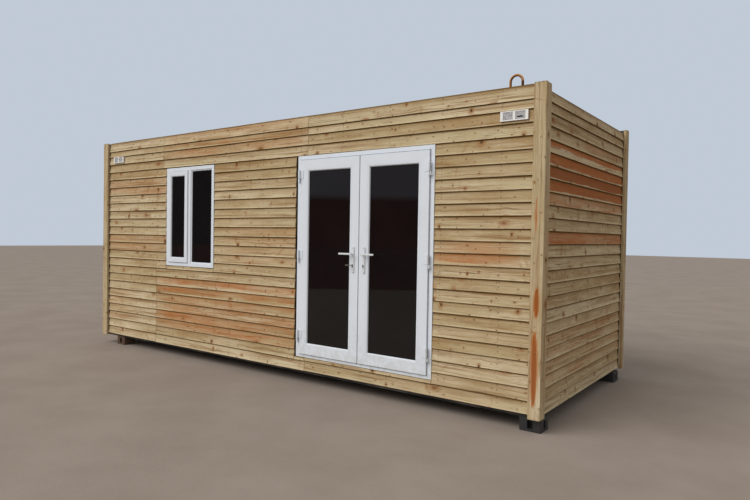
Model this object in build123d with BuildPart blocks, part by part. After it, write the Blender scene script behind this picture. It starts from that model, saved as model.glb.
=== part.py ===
from build123d import *
from math import ceil
import os

# Portable site cabin, twenty feet long, clad in feather-edge boards.
# +X runs along the front to the right, the front faces -Y, +Z is up.
# The origin is on the ground, midway along the length and between the front and back corner boards.
# Millimetres throughout.

# Overall sizes, measured over the corner boards
cabin_length = 6096.0
cabin_width = 2470.0
corner_board_height = 2553.0

# Feet: corner castings with a lashing pocket in each outward face
foot_length = 178.0
foot_width = 162.0
foot_height = 106.0
foot_corner_radius = 14.0
foot_pocket_width = 44.0
foot_pocket_height = 68.0
foot_pocket_depth = 58.0
foot_pocket_radius = 12.0
foot_inset_left = 283.0
foot_inset_right = 4.0
foot_inset_side = 42.0
foot_inset_back_right = 190.0

# Chassis: rolled channels under a boarded floor
rail_height = 130.0
rail_flange = 60.0
rail_web = 8.0
cross_member_height = 100.0
cross_member_flange = 50.0
cross_member_web = 6.0
cross_member_spacing_limit = 600.0
floor_thickness = 30.0

# Corner: a square steel tube with two planted boards
corner_post = 70.0
corner_board_width = 100.0
corner_side_board_width = 75.0
corner_board_thickness = 30.0
corner_post_below_top = 8.0

# Feather-edge cladding, depths measured inwards from the face of the corner boards
board_pitch = 101.8
board_butt_depth = 27.0
board_lap = 13.0
board_back_depth = 52.0
front_cladding_bottom = 26.0
front_top_board = 113.0
end_cladding_bottom = 12.0
end_top_board = 86.0
end_cladding_drop = 33.0

# Wall frames behind the boards, lined inside
wall_thickness = 75.0

# Flat roof between the walls
roof_below_top = 85.0
roof_thickness = 90.0
roof_sheet_thickness = 6.0
roof_upstand_height = 45.0

# Lifting eyes, bent from round bar on a welded plate
eye_bar = 21.0
eye_bar_sides = 8
eye_inside_width = 82.0
eye_above_top = 132.0
eye_from_right = 313.0
eye_from_wall = 42.0
eye_plate_length = 180.0
eye_plate_width = 66.0
eye_plate_thickness = 10.0

# White plastic frames
frame_depth_in_wall = 30.0
frame_depth = 70.0
frame_face = 38.0
board_gap = 6.0
board_gap_left = 22.0

# Double doors, opening outwards
door_from_right_end = 969.0
door_frame_width = 1576.0
door_frame_height = 2000.0
door_sill = 28.0
door_gap = 6.0
meeting_gap = 7.0
leaf_thickness = 65.0
leaf_proud = 15.0
leaf_stile = 105.0
leaf_edge_bevel = 4.5
stop_width = 16.0
stop_depth = 15.0

# Glazing, shared by the doors and the window
glass_thickness = 24.0
glass_from_face = 17.0
glass_edge_cover = 14.0
bead_slope = 9.0
seat_clearance = 0.3

# Flag hinges
hinge_knuckle_radius = 9.0
hinge_pin_radius = 4.0
hinge_pin_clearance = 0.1
hinge_height = 120.0
hinge_frame_share = 34.0
hinge_knuckle_gap = 1.0
hinge_axis_proud = 11.0
hinge_flag_width = 46.0
hinge_flag_thickness = 4.0
hinge_plate_width = 27.0
hinge_arm_clear_of_joint = 1.0
hinge_heights = (212.0, 1006.0, 1798.0)

# Lever handles with a lock below each
handle_height = 1207.0
handle_from_meeting = 59.5
handle_plate_width = 30.0
handle_plate_height = 246.0
handle_plate_thickness = 10.0
handle_plate_below_spindle = 172.0
spindle_radius = 5.0
spindle_clearance = 1.0
lever_neck_radius = 9.0
lever_projection = 50.0
lever_length = 132.0
lever_bar_height = 17.0
lever_bar_thickness = 11.0
lock_below_spindle = 104.0
lock_radius = 8.5
lock_tail_width = 10.0
lock_tail_length = 20.0
lock_proud = 2.0

# Window with one side-hung sash and one fixed light
window_from_left_end = 1372.0
window_frame_width = 880.0
window_frame_height = 1170.0
window_bottom = 984.0
window_frame_face = 40.0
window_mullion = 46.0
window_mullion_from_left = 441.0
sash_gap = 4.0
sash_thickness = 60.0
sash_proud = 12.0
sash_rail = 54.0
fixed_bead = 16.0

# Twin louvred vents
vent_width = 229.0
vent_height = 76.0
vent_thickness = 14.0
vent_border = 7.0
vent_mullion = 9.0
vent_louvres = 7
vent_louvre_thickness = 2.4
vent_louvre_clearance = 1.3
vent_backing = 3.0
vent_bottom_below_top = 268.0
vent_right_from_end = 148.0
vent_left_from_end = 222.0
vent_spigot_height = 50.0
vent_spigot_width = 200.0
vent_spigot_clearance = 2.0

# Heights above the ground, worked out from the sizes above
board_foot = foot_height
board_top = board_foot + corner_board_height
rail_top = foot_height + rail_height
floor_top = rail_top + floor_thickness
end_top = board_top - end_cladding_drop
roof_top = board_top - roof_below_top
vent_bottom_z = board_top - vent_bottom_below_top
wall_inner_depth = board_back_depth + wall_thickness
half_length = cabin_length / 2
half_width = cabin_width / 2

# Edges of the two openings along the front
door_right = half_length - door_from_right_end
door_left = door_right - door_frame_width
door_centre_x = (door_left + door_right) / 2
window_left = window_from_left_end - half_length
window_right = window_left + window_frame_width
window_centre_x = (window_left + window_right) / 2

UP = Vector(0, 0, 1)
OUTWARD = {
    "front": Vector(0, -1, 0),
    "back": Vector(0, 1, 0),
    "left_end": Vector(-1, 0, 0),
    "right_end": Vector(1, 0, 0),
}
SIDES = {"front": -1, "back": 1}
ENDS = {"left": -1, "right": 1}


def section_plane(side):
    """Cross-section of one wall: local x is the depth into the wall, local y is the height."""
    out = OUTWARD[side]
    reach = half_width if out.X == 0 else half_length
    return Plane(origin=out * reach, x_dir=-out, z_dir=(-out).cross(UP))


def elevation(depth):
    """Upright plane at a depth behind the face of the front corner boards, seen from the front."""
    return Plane(origin=(0, depth - half_width, 0), x_dir=(1, 0, 0), z_dir=(0, -1, 0))


def write(part, name):
    part.label = name
    export_step(part, f"parts/{name}.step")


os.makedirs("parts", exist_ok=True)


# Feet: a rounded casting with a blind lashing pocket in each of its two outward faces
def foot(side, end):
    towards_side, towards_end = SIDES[side], ENDS[end]
    inset_x = foot_inset_left if end == "left" else foot_inset_right
    inset_y = foot_inset_back_right if (side, end) == ("back", "right") else foot_inset_side
    centre_x = towards_end * (half_length - inset_x - foot_length / 2)
    centre_y = towards_side * (half_width - inset_y - foot_width / 2)
    outer_x = centre_x + towards_end * foot_length / 2
    outer_y = centre_y + towards_side * foot_width / 2
    pocket_faces = (
        Plane((centre_x, outer_y, foot_height / 2), x_dir=(1, 0, 0), z_dir=(0, towards_side, 0)),
        Plane((outer_x, centre_y, foot_height / 2), x_dir=(0, 1, 0), z_dir=(towards_end, 0, 0)),
    )
    with BuildPart() as casting:
        with BuildSketch(Plane((centre_x, centre_y, 0))):
            RectangleRounded(foot_length, foot_width, foot_corner_radius)
        extrude(amount=foot_height)
        for face in pocket_faces:
            with BuildSketch(face):
                RectangleRounded(foot_pocket_width, foot_pocket_height, foot_pocket_radius)
            extrude(amount=-foot_pocket_depth, mode=Mode.SUBTRACT)
    return casting.part


for side in SIDES:
    for end in ENDS:
        write(foot(side, end), f"foot_{side}_{end}")


# Chassis: perimeter channels with their backs outwards, and cross members between the long ones
def channel(height, flange, web):
    """Channel section in the wall's cross-section plane, its back at local x = 0."""
    with BuildSketch(mode=Mode.PRIVATE) as section:
        Rectangle(flange, height, align=(Align.MIN, Align.MIN))
        with Locations((web, web)):
            Rectangle(flange - web, height - 2 * web, align=(Align.MIN, Align.MIN), mode=Mode.SUBTRACT)
    return section.sketch


def perimeter_rails(sides, run):
    with BuildPart() as rails:
        for side in sides:
            with BuildSketch(section_plane(side)):
                with Locations((board_back_depth, foot_height)):
                    add(channel(rail_height, rail_flange, rail_web))
            extrude(amount=run / 2, both=True)
    return rails.part


side_rail_run = cabin_length - 2 * board_back_depth
end_rail_run = cabin_width - 2 * (board_back_depth + rail_flange)
write(perimeter_rails(("front", "back"), side_rail_run), "side_rails")
write(perimeter_rails(("left_end", "right_end"), end_rail_run), "end_rails")

cross_member_count = ceil(side_rail_run / cross_member_spacing_limit) - 1
cross_member_spacing = side_rail_run / (cross_member_count + 1)
with BuildPart() as cross_members:
    with BuildSketch(Plane.XZ):
        with Locations((0, rail_top - cross_member_height)):
            with GridLocations(cross_member_spacing, 0, cross_member_count, 1):
                with Locations((-cross_member_flange / 2, 0)):
                    add(channel(cross_member_height, cross_member_flange, cross_member_web))
    extrude(amount=cabin_width / 2 - board_back_depth - rail_flange, both=True)
write(cross_members.part, "cross_members")

# Floor boards on the chassis, with a tongue under the door frame
with BuildPart() as floor_deck:
    with BuildSketch(Plane.XY.offset(rail_top)):
        Rectangle(cabin_length - 2 * wall_inner_depth, cabin_width - 2 * wall_inner_depth)
        with Locations((door_centre_x, board_back_depth - half_width)):
            Rectangle(door_frame_width, wall_thickness, align=(Align.CENTER, Align.MIN))
    extrude(amount=floor_thickness)
write(floor_deck.part, "floor_deck")


# Walls: lined frames that stand on the chassis between the corner posts
def wall_slab(left, right, bottom, top):
    """Piece of the front wall frame between two uprights and two heights."""
    with BuildPart() as slab:
        with BuildSketch(elevation(board_back_depth)):
            with Locations((left, bottom)):
                Rectangle(right - left, top - bottom, align=(Align.MIN, Align.MIN))
        extrude(amount=-wall_thickness)
    return slab.part


wall_left = corner_board_width - half_length
wall_right = half_length - corner_board_width
window_sill_z = board_foot + window_bottom
window_head_z = window_sill_z + window_frame_height
door_head_z = floor_top + door_frame_height
front_wall_pieces = {
    "left_end": (wall_left, window_left, rail_top, board_top),
    "under_window": (window_left, window_right, rail_top, window_sill_z),
    "over_window": (window_left, window_right, window_head_z, board_top),
    "between_openings": (window_right, door_left, rail_top, board_top),
    "over_door": (door_left, door_right, door_head_z, board_top),
    "right_end": (door_right, wall_right, rail_top, board_top),
}
for place, extent in front_wall_pieces.items():
    write(wall_slab(*extent), f"front_wall_{place}")

with BuildPart() as back_wall:
    with BuildSketch(section_plane("back")):
        with Locations((board_back_depth, rail_top)):
            Rectangle(wall_thickness, board_top - rail_top, align=(Align.MIN, Align.MIN))
    extrude(amount=wall_right, both=True)
write(back_wall.part, "back_wall")

for end in ENDS:
    with BuildPart() as end_wall:
        with BuildSketch(section_plane(f"{end}_end")):
            with Locations((board_back_depth, rail_top)):
                Rectangle(wall_thickness, end_top - rail_top, align=(Align.MIN, Align.MIN))
        extrude(amount=half_width - wall_inner_depth, both=True)
    write(end_wall.part, f"{end}_end_wall")


# Feather-edge cladding: each board's thick lower edge laps over the thin top of the one below
def board_edges(bottom, top, top_board):
    """Heights of the boards' lower edges and the top; the board under the top one is cut narrow."""
    full_boards = int((top - bottom - top_board) // board_pitch)
    edges = [bottom + board_pitch * course for course in range(full_boards + 1)]
    return edges + [top - top_board, top]


def cladding_outline(edges):
    """Saw-tooth outline of one wall's boards, in the wall's cross-section plane."""
    thin_depth = board_butt_depth + board_lap
    points = [(board_back_depth, edges[0])]
    for lower, upper in zip(edges, edges[1:]):
        points += [(board_butt_depth, lower), (thin_depth, upper)]
    return points + [(board_back_depth, edges[-1])]


front_edges = board_edges(board_foot + front_cladding_bottom, board_top, front_top_board)
end_edges = board_edges(board_foot + end_cladding_bottom, end_top, end_top_board)


def cladding(side, edges, run):
    with BuildPart() as boards:
        with BuildSketch(section_plane(side)):
            with BuildLine():
                Polyline(*cladding_outline(edges), close=True)
            make_face()
        extrude(amount=run / 2, both=True)
    return boards.part


front_cladding_run = cabin_length - 2 * corner_board_width
end_cladding_run = cabin_width - 2 * (corner_board_thickness + corner_side_board_width)
vent_centres = (
    -half_length + vent_left_from_end + vent_width / 2,
    half_length - vent_right_from_end - vent_width / 2,
)
with BuildPart() as front_cladding:
    add(cladding("front", front_edges, front_cladding_run))
    with BuildSketch(elevation(0)):
        door_opening_left = door_left - board_gap_left
        with Locations((door_opening_left, floor_top - board_gap)):
            Rectangle(
                door_right + board_gap - door_opening_left,
                door_frame_height + 2 * board_gap,
                align=(Align.MIN, Align.MIN),
            )
        with Locations((window_centre_x, window_sill_z - board_gap)):
            Rectangle(
                window_frame_width + 2 * board_gap,
                window_frame_height + 2 * board_gap,
                align=(Align.CENTER, Align.MIN),
            )
        for vent_x in vent_centres:
            with Locations((vent_x, vent_bottom_z + vent_height / 2)):
                Rectangle(
                    vent_spigot_width + 2 * vent_spigot_clearance,
                    vent_spigot_height + 2 * vent_spigot_clearance,
                )
    extrude(amount=-board_back_depth, mode=Mode.SUBTRACT)
write(front_cladding.part, "front_cladding")
write(cladding("back", front_edges, front_cladding_run), "back_cladding")
for end in ENDS:
    write(cladding(f"{end}_end", end_edges, end_cladding_run), f"{end}_end_cladding")


# Corners: a steel post standing on the chassis, covered by two boards
def corner_outline(width, thickness, side_width):
    """L of the two planted boards, its outer corner at the local origin."""
    with BuildSketch(mode=Mode.PRIVATE) as section:
        Rectangle(width, thickness, align=(Align.MIN, Align.MIN))
        with Locations((0, thickness)):
            Rectangle(thickness, side_width, align=(Align.MIN, Align.MIN))
    return section.sketch


for side, towards_side in SIDES.items():
    for end, towards_end in ENDS.items():
        corner_x, corner_y = towards_end * half_length, towards_side * half_width
        # Local x runs along the cabin and local y across it, both inwards from the corner
        flip = towards_end * towards_side
        quarter = Plane(
            origin=(corner_x, corner_y, board_foot),
            x_dir=(-towards_end, 0, 0),
            z_dir=(0, 0, flip),
        )
        with BuildPart() as corner_boards:
            with BuildSketch(quarter):
                add(corner_outline(corner_board_width, corner_board_thickness, corner_side_board_width))
            extrude(amount=flip * corner_board_height)
        write(corner_boards.part, f"corner_boards_{side}_{end}")

with BuildPart() as corner_posts:
    post_centre = corner_board_thickness + corner_post / 2
    with BuildSketch(Plane.XY.offset(rail_top)):
        with GridLocations(cabin_length - 2 * post_centre, cabin_width - 2 * post_centre, 2, 2):
            Rectangle(corner_post, corner_post)
    extrude(amount=board_top - corner_post_below_top - rail_top)
write(corner_posts.part, "corner_posts")

# Roof: a deck between the walls and a sheet with a turned-up edge
with BuildPart() as roof_deck:
    with BuildSketch(Plane.XY.offset(roof_top)):
        Rectangle(cabin_length - 2 * wall_inner_depth, cabin_width - 2 * wall_inner_depth)
    extrude(amount=-roof_thickness)
write(roof_deck.part, "roof_deck")

roof_sheet_length = cabin_length - 2 * wall_inner_depth
roof_sheet_width = cabin_width - 2 * wall_inner_depth
eye_x = half_length - eye_from_right
eye_y = half_width - wall_inner_depth - eye_from_wall
with BuildPart() as roof_sheet:
    with BuildSketch(Plane.XY.offset(roof_top)):
        Rectangle(roof_sheet_length, roof_sheet_width)
    extrude(amount=roof_upstand_height)
    with BuildSketch(Plane.XY.offset(roof_top + roof_sheet_thickness)):
        Rectangle(roof_sheet_length - 2 * roof_sheet_thickness, roof_sheet_width - 2 * roof_sheet_thickness)
    extrude(amount=roof_upstand_height, mode=Mode.SUBTRACT)
write(roof_sheet.part, "roof_sheet")

# Lifting eyes on the roof at the right-hand end
eye_radius = (eye_inside_width + eye_bar) / 2
eye_base = roof_top + roof_sheet_thickness
eye_arch_z = board_top + eye_above_top - eye_bar / 2 - eye_radius
with BuildPart() as lifting_eyes:
    for towards_side in SIDES.values():
        place = Plane(origin=(eye_x, towards_side * eye_y, 0), x_dir=(1, 0, 0), z_dir=(0, -1, 0))
        with BuildSketch(Plane((eye_x, towards_side * eye_y, eye_base))):
            RectangleRounded(eye_plate_length, eye_plate_width, eye_bar / 2)
        extrude(amount=eye_plate_thickness)
        with BuildLine(place) as hoop:
            rise = Line((-eye_radius, eye_base + eye_plate_thickness), (-eye_radius, eye_arch_z))
            arch = RadiusArc(rise @ 1, (eye_radius, eye_arch_z), eye_radius)
            Line(arch @ 1, (eye_radius, eye_base + eye_plate_thickness))
        with BuildSketch(Plane(origin=hoop.line @ 0, z_dir=hoop.line % 0)):
            RegularPolygon(eye_bar / 2, eye_bar_sides)
        sweep(path=hoop.line)
write(lifting_eyes.part, "lifting_eyes")


# Door frame: a welded plastic ring with a stop bead behind the leaves
def ring(plane, left, right, bottom, top, depth, sides, low=None):
    """Rectangular ring on a plane, extruded into the wall; low is the width of the bottom member."""
    low = sides if low is None else low
    with BuildPart() as hoop:
        with BuildSketch(plane):
            with Locations((left, bottom)):
                Rectangle(right - left, top - bottom, align=(Align.MIN, Align.MIN))
            with Locations((left + sides, bottom + low)):
                Rectangle(
                    right - left - 2 * sides,
                    top - bottom - sides - low,
                    align=(Align.MIN, Align.MIN),
                    mode=Mode.SUBTRACT,
                )
        extrude(amount=-depth)
    return hoop.part


write(
    ring(
        elevation(frame_depth_in_wall),
        door_left,
        door_right,
        floor_top,
        door_head_z,
        frame_depth,
        frame_face,
        door_sill,
    ),
    "door_frame",
)
stop_face = frame_depth_in_wall + frame_depth - stop_depth
write(
    ring(
        elevation(stop_face),
        door_left + frame_face,
        door_right - frame_face,
        floor_top + door_sill,
        door_head_z - frame_face,
        stop_depth,
        stop_width,
    ),
    "door_stop",
)

# Door leaves: framed, glazed, bevelled where they meet, hinged on the outside
leaf_face_depth = leaf_proud
leaf_bottom = floor_top + door_sill + door_gap
leaf_top = door_head_z - frame_face - door_gap
leaf_outer_edge = door_frame_width / 2 - frame_face - door_gap
leaf_meeting_edge = meeting_gap / 2
leaf_width = leaf_outer_edge - leaf_meeting_edge
glass_depth = leaf_face_depth + glass_from_face
spindle_z = board_foot + handle_height
hinge_axis_depth = leaf_face_depth - hinge_axis_proud


def glazing_rebate(left, right, bottom, top, face_depth, thickness):
    """Opening for a pane: a sloping bead outside, a rebate that holds the pane, a clear opening inside."""
    sight_width, sight_height = right - left, top - bottom
    centre = ((left + right) / 2, (bottom + top) / 2)
    with BuildPart() as cutter:
        with BuildSketch(elevation(face_depth)):
            with Locations(centre):
                Rectangle(sight_width, sight_height)
        with BuildSketch(elevation(face_depth + glass_from_face)):
            with Locations(centre):
                Rectangle(sight_width - 2 * bead_slope, sight_height - 2 * bead_slope)
        loft()
        with BuildSketch(elevation(face_depth + glass_from_face)):
            with Locations(centre):
                Rectangle(sight_width - 2 * bead_slope, sight_height - 2 * bead_slope)
        extrude(amount=-(thickness - glass_from_face))
        with BuildSketch(elevation(face_depth + glass_from_face)):
            with Locations(centre):
                pane_cover = 2 * (glass_edge_cover - bead_slope + seat_clearance)
                Rectangle(sight_width + pane_cover, sight_height + pane_cover)
        extrude(amount=-(glass_thickness + seat_clearance))
    return cutter.part


def pane(left, right, bottom, top, face_depth):
    """Double-glazed unit that fills the rebate of the opening with these sight edges."""
    cover = glass_edge_cover - bead_slope
    with BuildPart() as unit:
        with BuildSketch(elevation(face_depth + glass_from_face)):
            with Locations(((left + right) / 2, (bottom + top) / 2)):
                Rectangle(right - left + 2 * cover, top - bottom + 2 * cover)
        extrude(amount=-glass_thickness)
    return unit.part


def leaf(towards_hinge):
    """Door leaf with its pane and furniture holes; towards_hinge is -1 on the left leaf, 1 on the right."""
    hinge_edge = door_centre_x + towards_hinge * leaf_outer_edge
    meeting_edge = door_centre_x + towards_hinge * leaf_meeting_edge
    bevelled_edge = meeting_edge + towards_hinge * leaf_edge_bevel
    front, back = leaf_face_depth - half_width, leaf_face_depth + leaf_thickness - half_width
    sight_hinge = hinge_edge - towards_hinge * leaf_stile
    sight_meeting = meeting_edge + towards_hinge * leaf_stile
    sight_left, sight_right = sorted((sight_hinge, sight_meeting))
    sight_bottom, sight_top = leaf_bottom + leaf_stile, leaf_top - leaf_stile
    spindle_x = meeting_edge + towards_hinge * handle_from_meeting
    with BuildPart() as frame:
        with BuildSketch(Plane.XY.offset(leaf_bottom)):
            with BuildLine():
                Polyline(
                    (hinge_edge, front),
                    (meeting_edge, front),
                    (bevelled_edge, back),
                    (hinge_edge, back),
                    close=True,
                )
            make_face()
        extrude(amount=leaf_top - leaf_bottom)
        add(
            glazing_rebate(
                sight_left, sight_right, sight_bottom, sight_top, leaf_face_depth, leaf_thickness
            ),
            mode=Mode.SUBTRACT,
        )
        with BuildSketch(elevation(leaf_face_depth)):
            with Locations((spindle_x, spindle_z)):
                Circle(spindle_radius + spindle_clearance)
        extrude(amount=-leaf_thickness, mode=Mode.SUBTRACT)
    glass = pane(sight_left, sight_right, sight_bottom, sight_top, leaf_face_depth)
    return frame.part, glass, spindle_x


# Flag hinges: the frame's knuckle carries the pin, the leaf's knuckle sits on it
def hinge_axis_x(towards_hinge):
    return door_centre_x + towards_hinge * (leaf_outer_edge + door_gap / 2)


def frame_hinge_set(towards_hinge):
    axis_x, axis_y = hinge_axis_x(towards_hinge), hinge_axis_depth - half_width
    frame_y = frame_depth_in_wall - half_width
    arm_inner = door_gap / 2 + hinge_arm_clear_of_joint
    with BuildPart() as halves:
        for height in hinge_heights:
            base = Plane((axis_x, axis_y, floor_top + height - hinge_height / 2))
            with BuildSketch(base):
                Circle(hinge_knuckle_radius)
                with Locations((towards_hinge * arm_inner, 0)):
                    Rectangle(
                        hinge_plate_width / 2,
                        frame_y - axis_y,
                        align=(Align.MIN if towards_hinge > 0 else Align.MAX, Align.MIN),
                    )
                with Locations((towards_hinge * arm_inner, frame_y - axis_y - hinge_flag_thickness)):
                    Rectangle(
                        hinge_plate_width,
                        hinge_flag_thickness,
                        align=(Align.MIN if towards_hinge > 0 else Align.MAX, Align.MIN),
                    )
            extrude(amount=hinge_frame_share)
            with BuildSketch(base):
                Circle(hinge_pin_radius)
            extrude(amount=hinge_height - hinge_knuckle_radius)
    return halves.part


def leaf_hinge_set(towards_hinge):
    axis_x, axis_y = hinge_axis_x(towards_hinge), hinge_axis_depth - half_width
    leaf_y = leaf_face_depth - half_width
    lower = hinge_frame_share + hinge_knuckle_gap
    pin_top = hinge_height - hinge_knuckle_radius + hinge_pin_clearance
    with BuildPart() as halves:
        for height in hinge_heights:
            base_z = floor_top + height - hinge_height / 2
            with BuildSketch(Plane((axis_x, axis_y, base_z + lower))):
                Circle(hinge_knuckle_radius)
                with Locations((0, leaf_y - axis_y - hinge_flag_thickness)):
                    Rectangle(
                        hinge_flag_width,
                        hinge_flag_thickness,
                        align=(Align.MAX if towards_hinge > 0 else Align.MIN, Align.MIN),
                    )
            extrude(amount=hinge_height - lower)
            with BuildSketch(Plane((axis_x, axis_y, base_z + lower))):
                Circle(hinge_pin_radius + hinge_pin_clearance)
            extrude(amount=pin_top - lower, mode=Mode.SUBTRACT)
    return halves.part


# Lever handles: one lever each side of the leaf on a common spindle, pointing away from the meeting edge
def handle_plates(spindle_x):
    plate_centre_z = spindle_z - handle_plate_below_spindle + handle_plate_height / 2
    faces = ((leaf_face_depth, 1), (leaf_face_depth + leaf_thickness, -1))
    with BuildPart() as plates:
        for depth, outward in faces:
            with BuildSketch(elevation(depth)):
                with Locations((spindle_x, plate_centre_z)):
                    SlotOverall(handle_plate_height, handle_plate_width, rotation=90)
                with Locations((spindle_x, spindle_z)):
                    Circle(spindle_radius + spindle_clearance, mode=Mode.SUBTRACT)
            extrude(amount=outward * handle_plate_thickness)
            with BuildSketch(elevation(depth - outward * handle_plate_thickness)):
                with Locations((spindle_x, spindle_z - lock_below_spindle)):
                    Circle(lock_radius)
                    with Locations((0, -lock_tail_length / 2)):
                        Rectangle(lock_tail_width, lock_tail_length)
            extrude(amount=outward * lock_proud)
    return plates.part


def lever(spindle_x, towards_hinge):
    spindle_reach = leaf_thickness / 2 + lever_projection
    neck_gap = handle_plate_thickness + seat_clearance
    faces = ((leaf_face_depth, 1), (leaf_face_depth + leaf_thickness, -1))
    with BuildPart() as handle:
        with BuildSketch(elevation(leaf_face_depth + leaf_thickness / 2)):
            with Locations((spindle_x, spindle_z)):
                Circle(spindle_radius)
        extrude(amount=spindle_reach, both=True)
        for depth, outward in faces:
            with BuildSketch(elevation(depth - outward * neck_gap)):
                with Locations((spindle_x, spindle_z)):
                    Circle(lever_neck_radius)
            extrude(amount=outward * (lever_projection - neck_gap))
            with BuildSketch(elevation(depth - outward * (lever_projection - lever_bar_thickness))):
                with Locations((spindle_x + towards_hinge * lever_length / 2, spindle_z)):
                    SlotOverall(lever_length + lever_bar_height, lever_bar_height)
            extrude(amount=outward * lever_bar_thickness)
    return handle.part


for name, towards_hinge in ENDS.items():
    leaf_frame, leaf_glass, spindle_x = leaf(towards_hinge)
    write(leaf_frame, f"{name}_door")
    write(leaf_glass, f"{name}_door_glass")
    write(frame_hinge_set(towards_hinge), f"{name}_frame_hinges")
    write(leaf_hinge_set(towards_hinge), f"{name}_door_hinges")
    write(handle_plates(spindle_x), f"{name}_handle_plates")
    write(lever(spindle_x, towards_hinge), f"{name}_lever")

# Window frame: a ring with an upright that divides the sash from the fixed light
window_face = frame_depth_in_wall
mullion_x = window_left + window_mullion_from_left
light_bottom = window_sill_z + window_frame_face
light_top = window_head_z - window_frame_face
with BuildPart() as window_frame:
    add(
        ring(
            elevation(window_face),
            window_left,
            window_right,
            window_sill_z,
            window_head_z,
            frame_depth,
            window_frame_face,
        )
    )
    with BuildSketch(elevation(window_face)):
        with Locations((mullion_x, light_bottom)):
            Rectangle(window_mullion, light_top - light_bottom, align=(Align.CENTER, Align.MIN))
    extrude(amount=-frame_depth)
    with BuildSketch(elevation(window_face + glass_from_face)):
        with Locations((mullion_x + window_mullion / 2, light_bottom)):
            Rectangle(
                window_right - window_frame_face - mullion_x - window_mullion / 2,
                light_top - light_bottom,
                align=(Align.MIN, Align.MIN),
            )
    extrude(amount=-(frame_depth - glass_from_face))
    fixed_left = mullion_x + window_mullion / 2
    fixed_right = window_right - window_frame_face
    fixed_sight = (
        fixed_left + fixed_bead,
        fixed_right - fixed_bead,
        light_bottom + fixed_bead,
        light_top - fixed_bead,
    )
    add(glazing_rebate(*fixed_sight, window_face, frame_depth), mode=Mode.SUBTRACT)
write(window_frame.part, "window_frame")
write(pane(*fixed_sight, window_face), "window_fixed_glass")

# Opening sash, closed: it lies against a stop bead behind it and stands proud of the frame
sash_face = window_face - sash_proud
sash_left = window_left + window_frame_face + sash_gap
sash_right = mullion_x - window_mullion / 2 - sash_gap
sash_bottom = light_bottom + sash_gap
sash_top = light_top - sash_gap
sash_sight = (
    sash_left + sash_rail,
    sash_right - sash_rail,
    sash_bottom + sash_rail,
    sash_top - sash_rail,
)
with BuildPart() as window_sash:
    with BuildSketch(elevation(sash_face)):
        with Locations((sash_left, sash_bottom)):
            Rectangle(sash_right - sash_left, sash_top - sash_bottom, align=(Align.MIN, Align.MIN))
    extrude(amount=-sash_thickness)
    add(glazing_rebate(*sash_sight, sash_face, sash_thickness), mode=Mode.SUBTRACT)
write(window_sash.part, "window_sash")
write(pane(*sash_sight, sash_face), "window_sash_glass")
write(
    ring(
        elevation(sash_face + sash_thickness),
        window_left + window_frame_face,
        mullion_x - window_mullion / 2,
        light_bottom,
        light_top,
        frame_depth - sash_thickness + sash_proud,
        stop_width,
    ),
    "window_stop",
)

# Vents: two louvred cells each, on a spigot let into the boards
vent_face = board_butt_depth - vent_thickness
cell_width = (vent_width - 2 * vent_border - vent_mullion) / 2
cell_height = vent_height - 2 * vent_border
louvre_pitch = cell_height / vent_louvres
with BuildPart() as front_vents:
    for vent_x in vent_centres:
        with BuildSketch(elevation(vent_face)):
            with Locations((vent_x, vent_bottom_z + vent_height / 2)):
                Rectangle(vent_width, vent_height)
                with GridLocations(cell_width + vent_mullion, 0, 2, 1):
                    Rectangle(cell_width, cell_height, mode=Mode.SUBTRACT)
        extrude(amount=-(vent_thickness - vent_backing))
        with BuildSketch(elevation(board_butt_depth - vent_backing)):
            with Locations((vent_x, vent_bottom_z + vent_height / 2)):
                Rectangle(vent_width, vent_height)
        extrude(amount=-vent_backing)
        with BuildSketch(elevation(board_butt_depth)):
            with Locations((vent_x, vent_bottom_z + vent_height / 2)):
                Rectangle(vent_spigot_width, vent_spigot_height)
        extrude(amount=-(board_back_depth - board_butt_depth))
        louvre_back = board_butt_depth - vent_backing - half_width
        louvre_front = vent_face + vent_louvre_thickness - half_width
        for louvre in range(vent_louvres):
            low = vent_bottom_z + vent_border + vent_louvre_clearance + louvre * louvre_pitch
            high = low + louvre_pitch / 2
            with BuildSketch(Plane(origin=(vent_x, 0, 0), x_dir=(0, 1, 0), z_dir=(1, 0, 0))):
                with BuildLine():
                    Polyline(
                        (louvre_front, low),
                        (louvre_front, low + vent_louvre_thickness),
                        (louvre_back, high + vent_louvre_thickness),
                        (louvre_back, high),
                        close=True,
                    )
                make_face()
            extrude(amount=cell_width + vent_mullion / 2, both=True)
write(front_vents.part, "front_vents")
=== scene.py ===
import math
import random
from functools import partialmethod

import bmesh
import bpy
from mathutils import Matrix, Vector
from mathutils import noise as terrain


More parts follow.
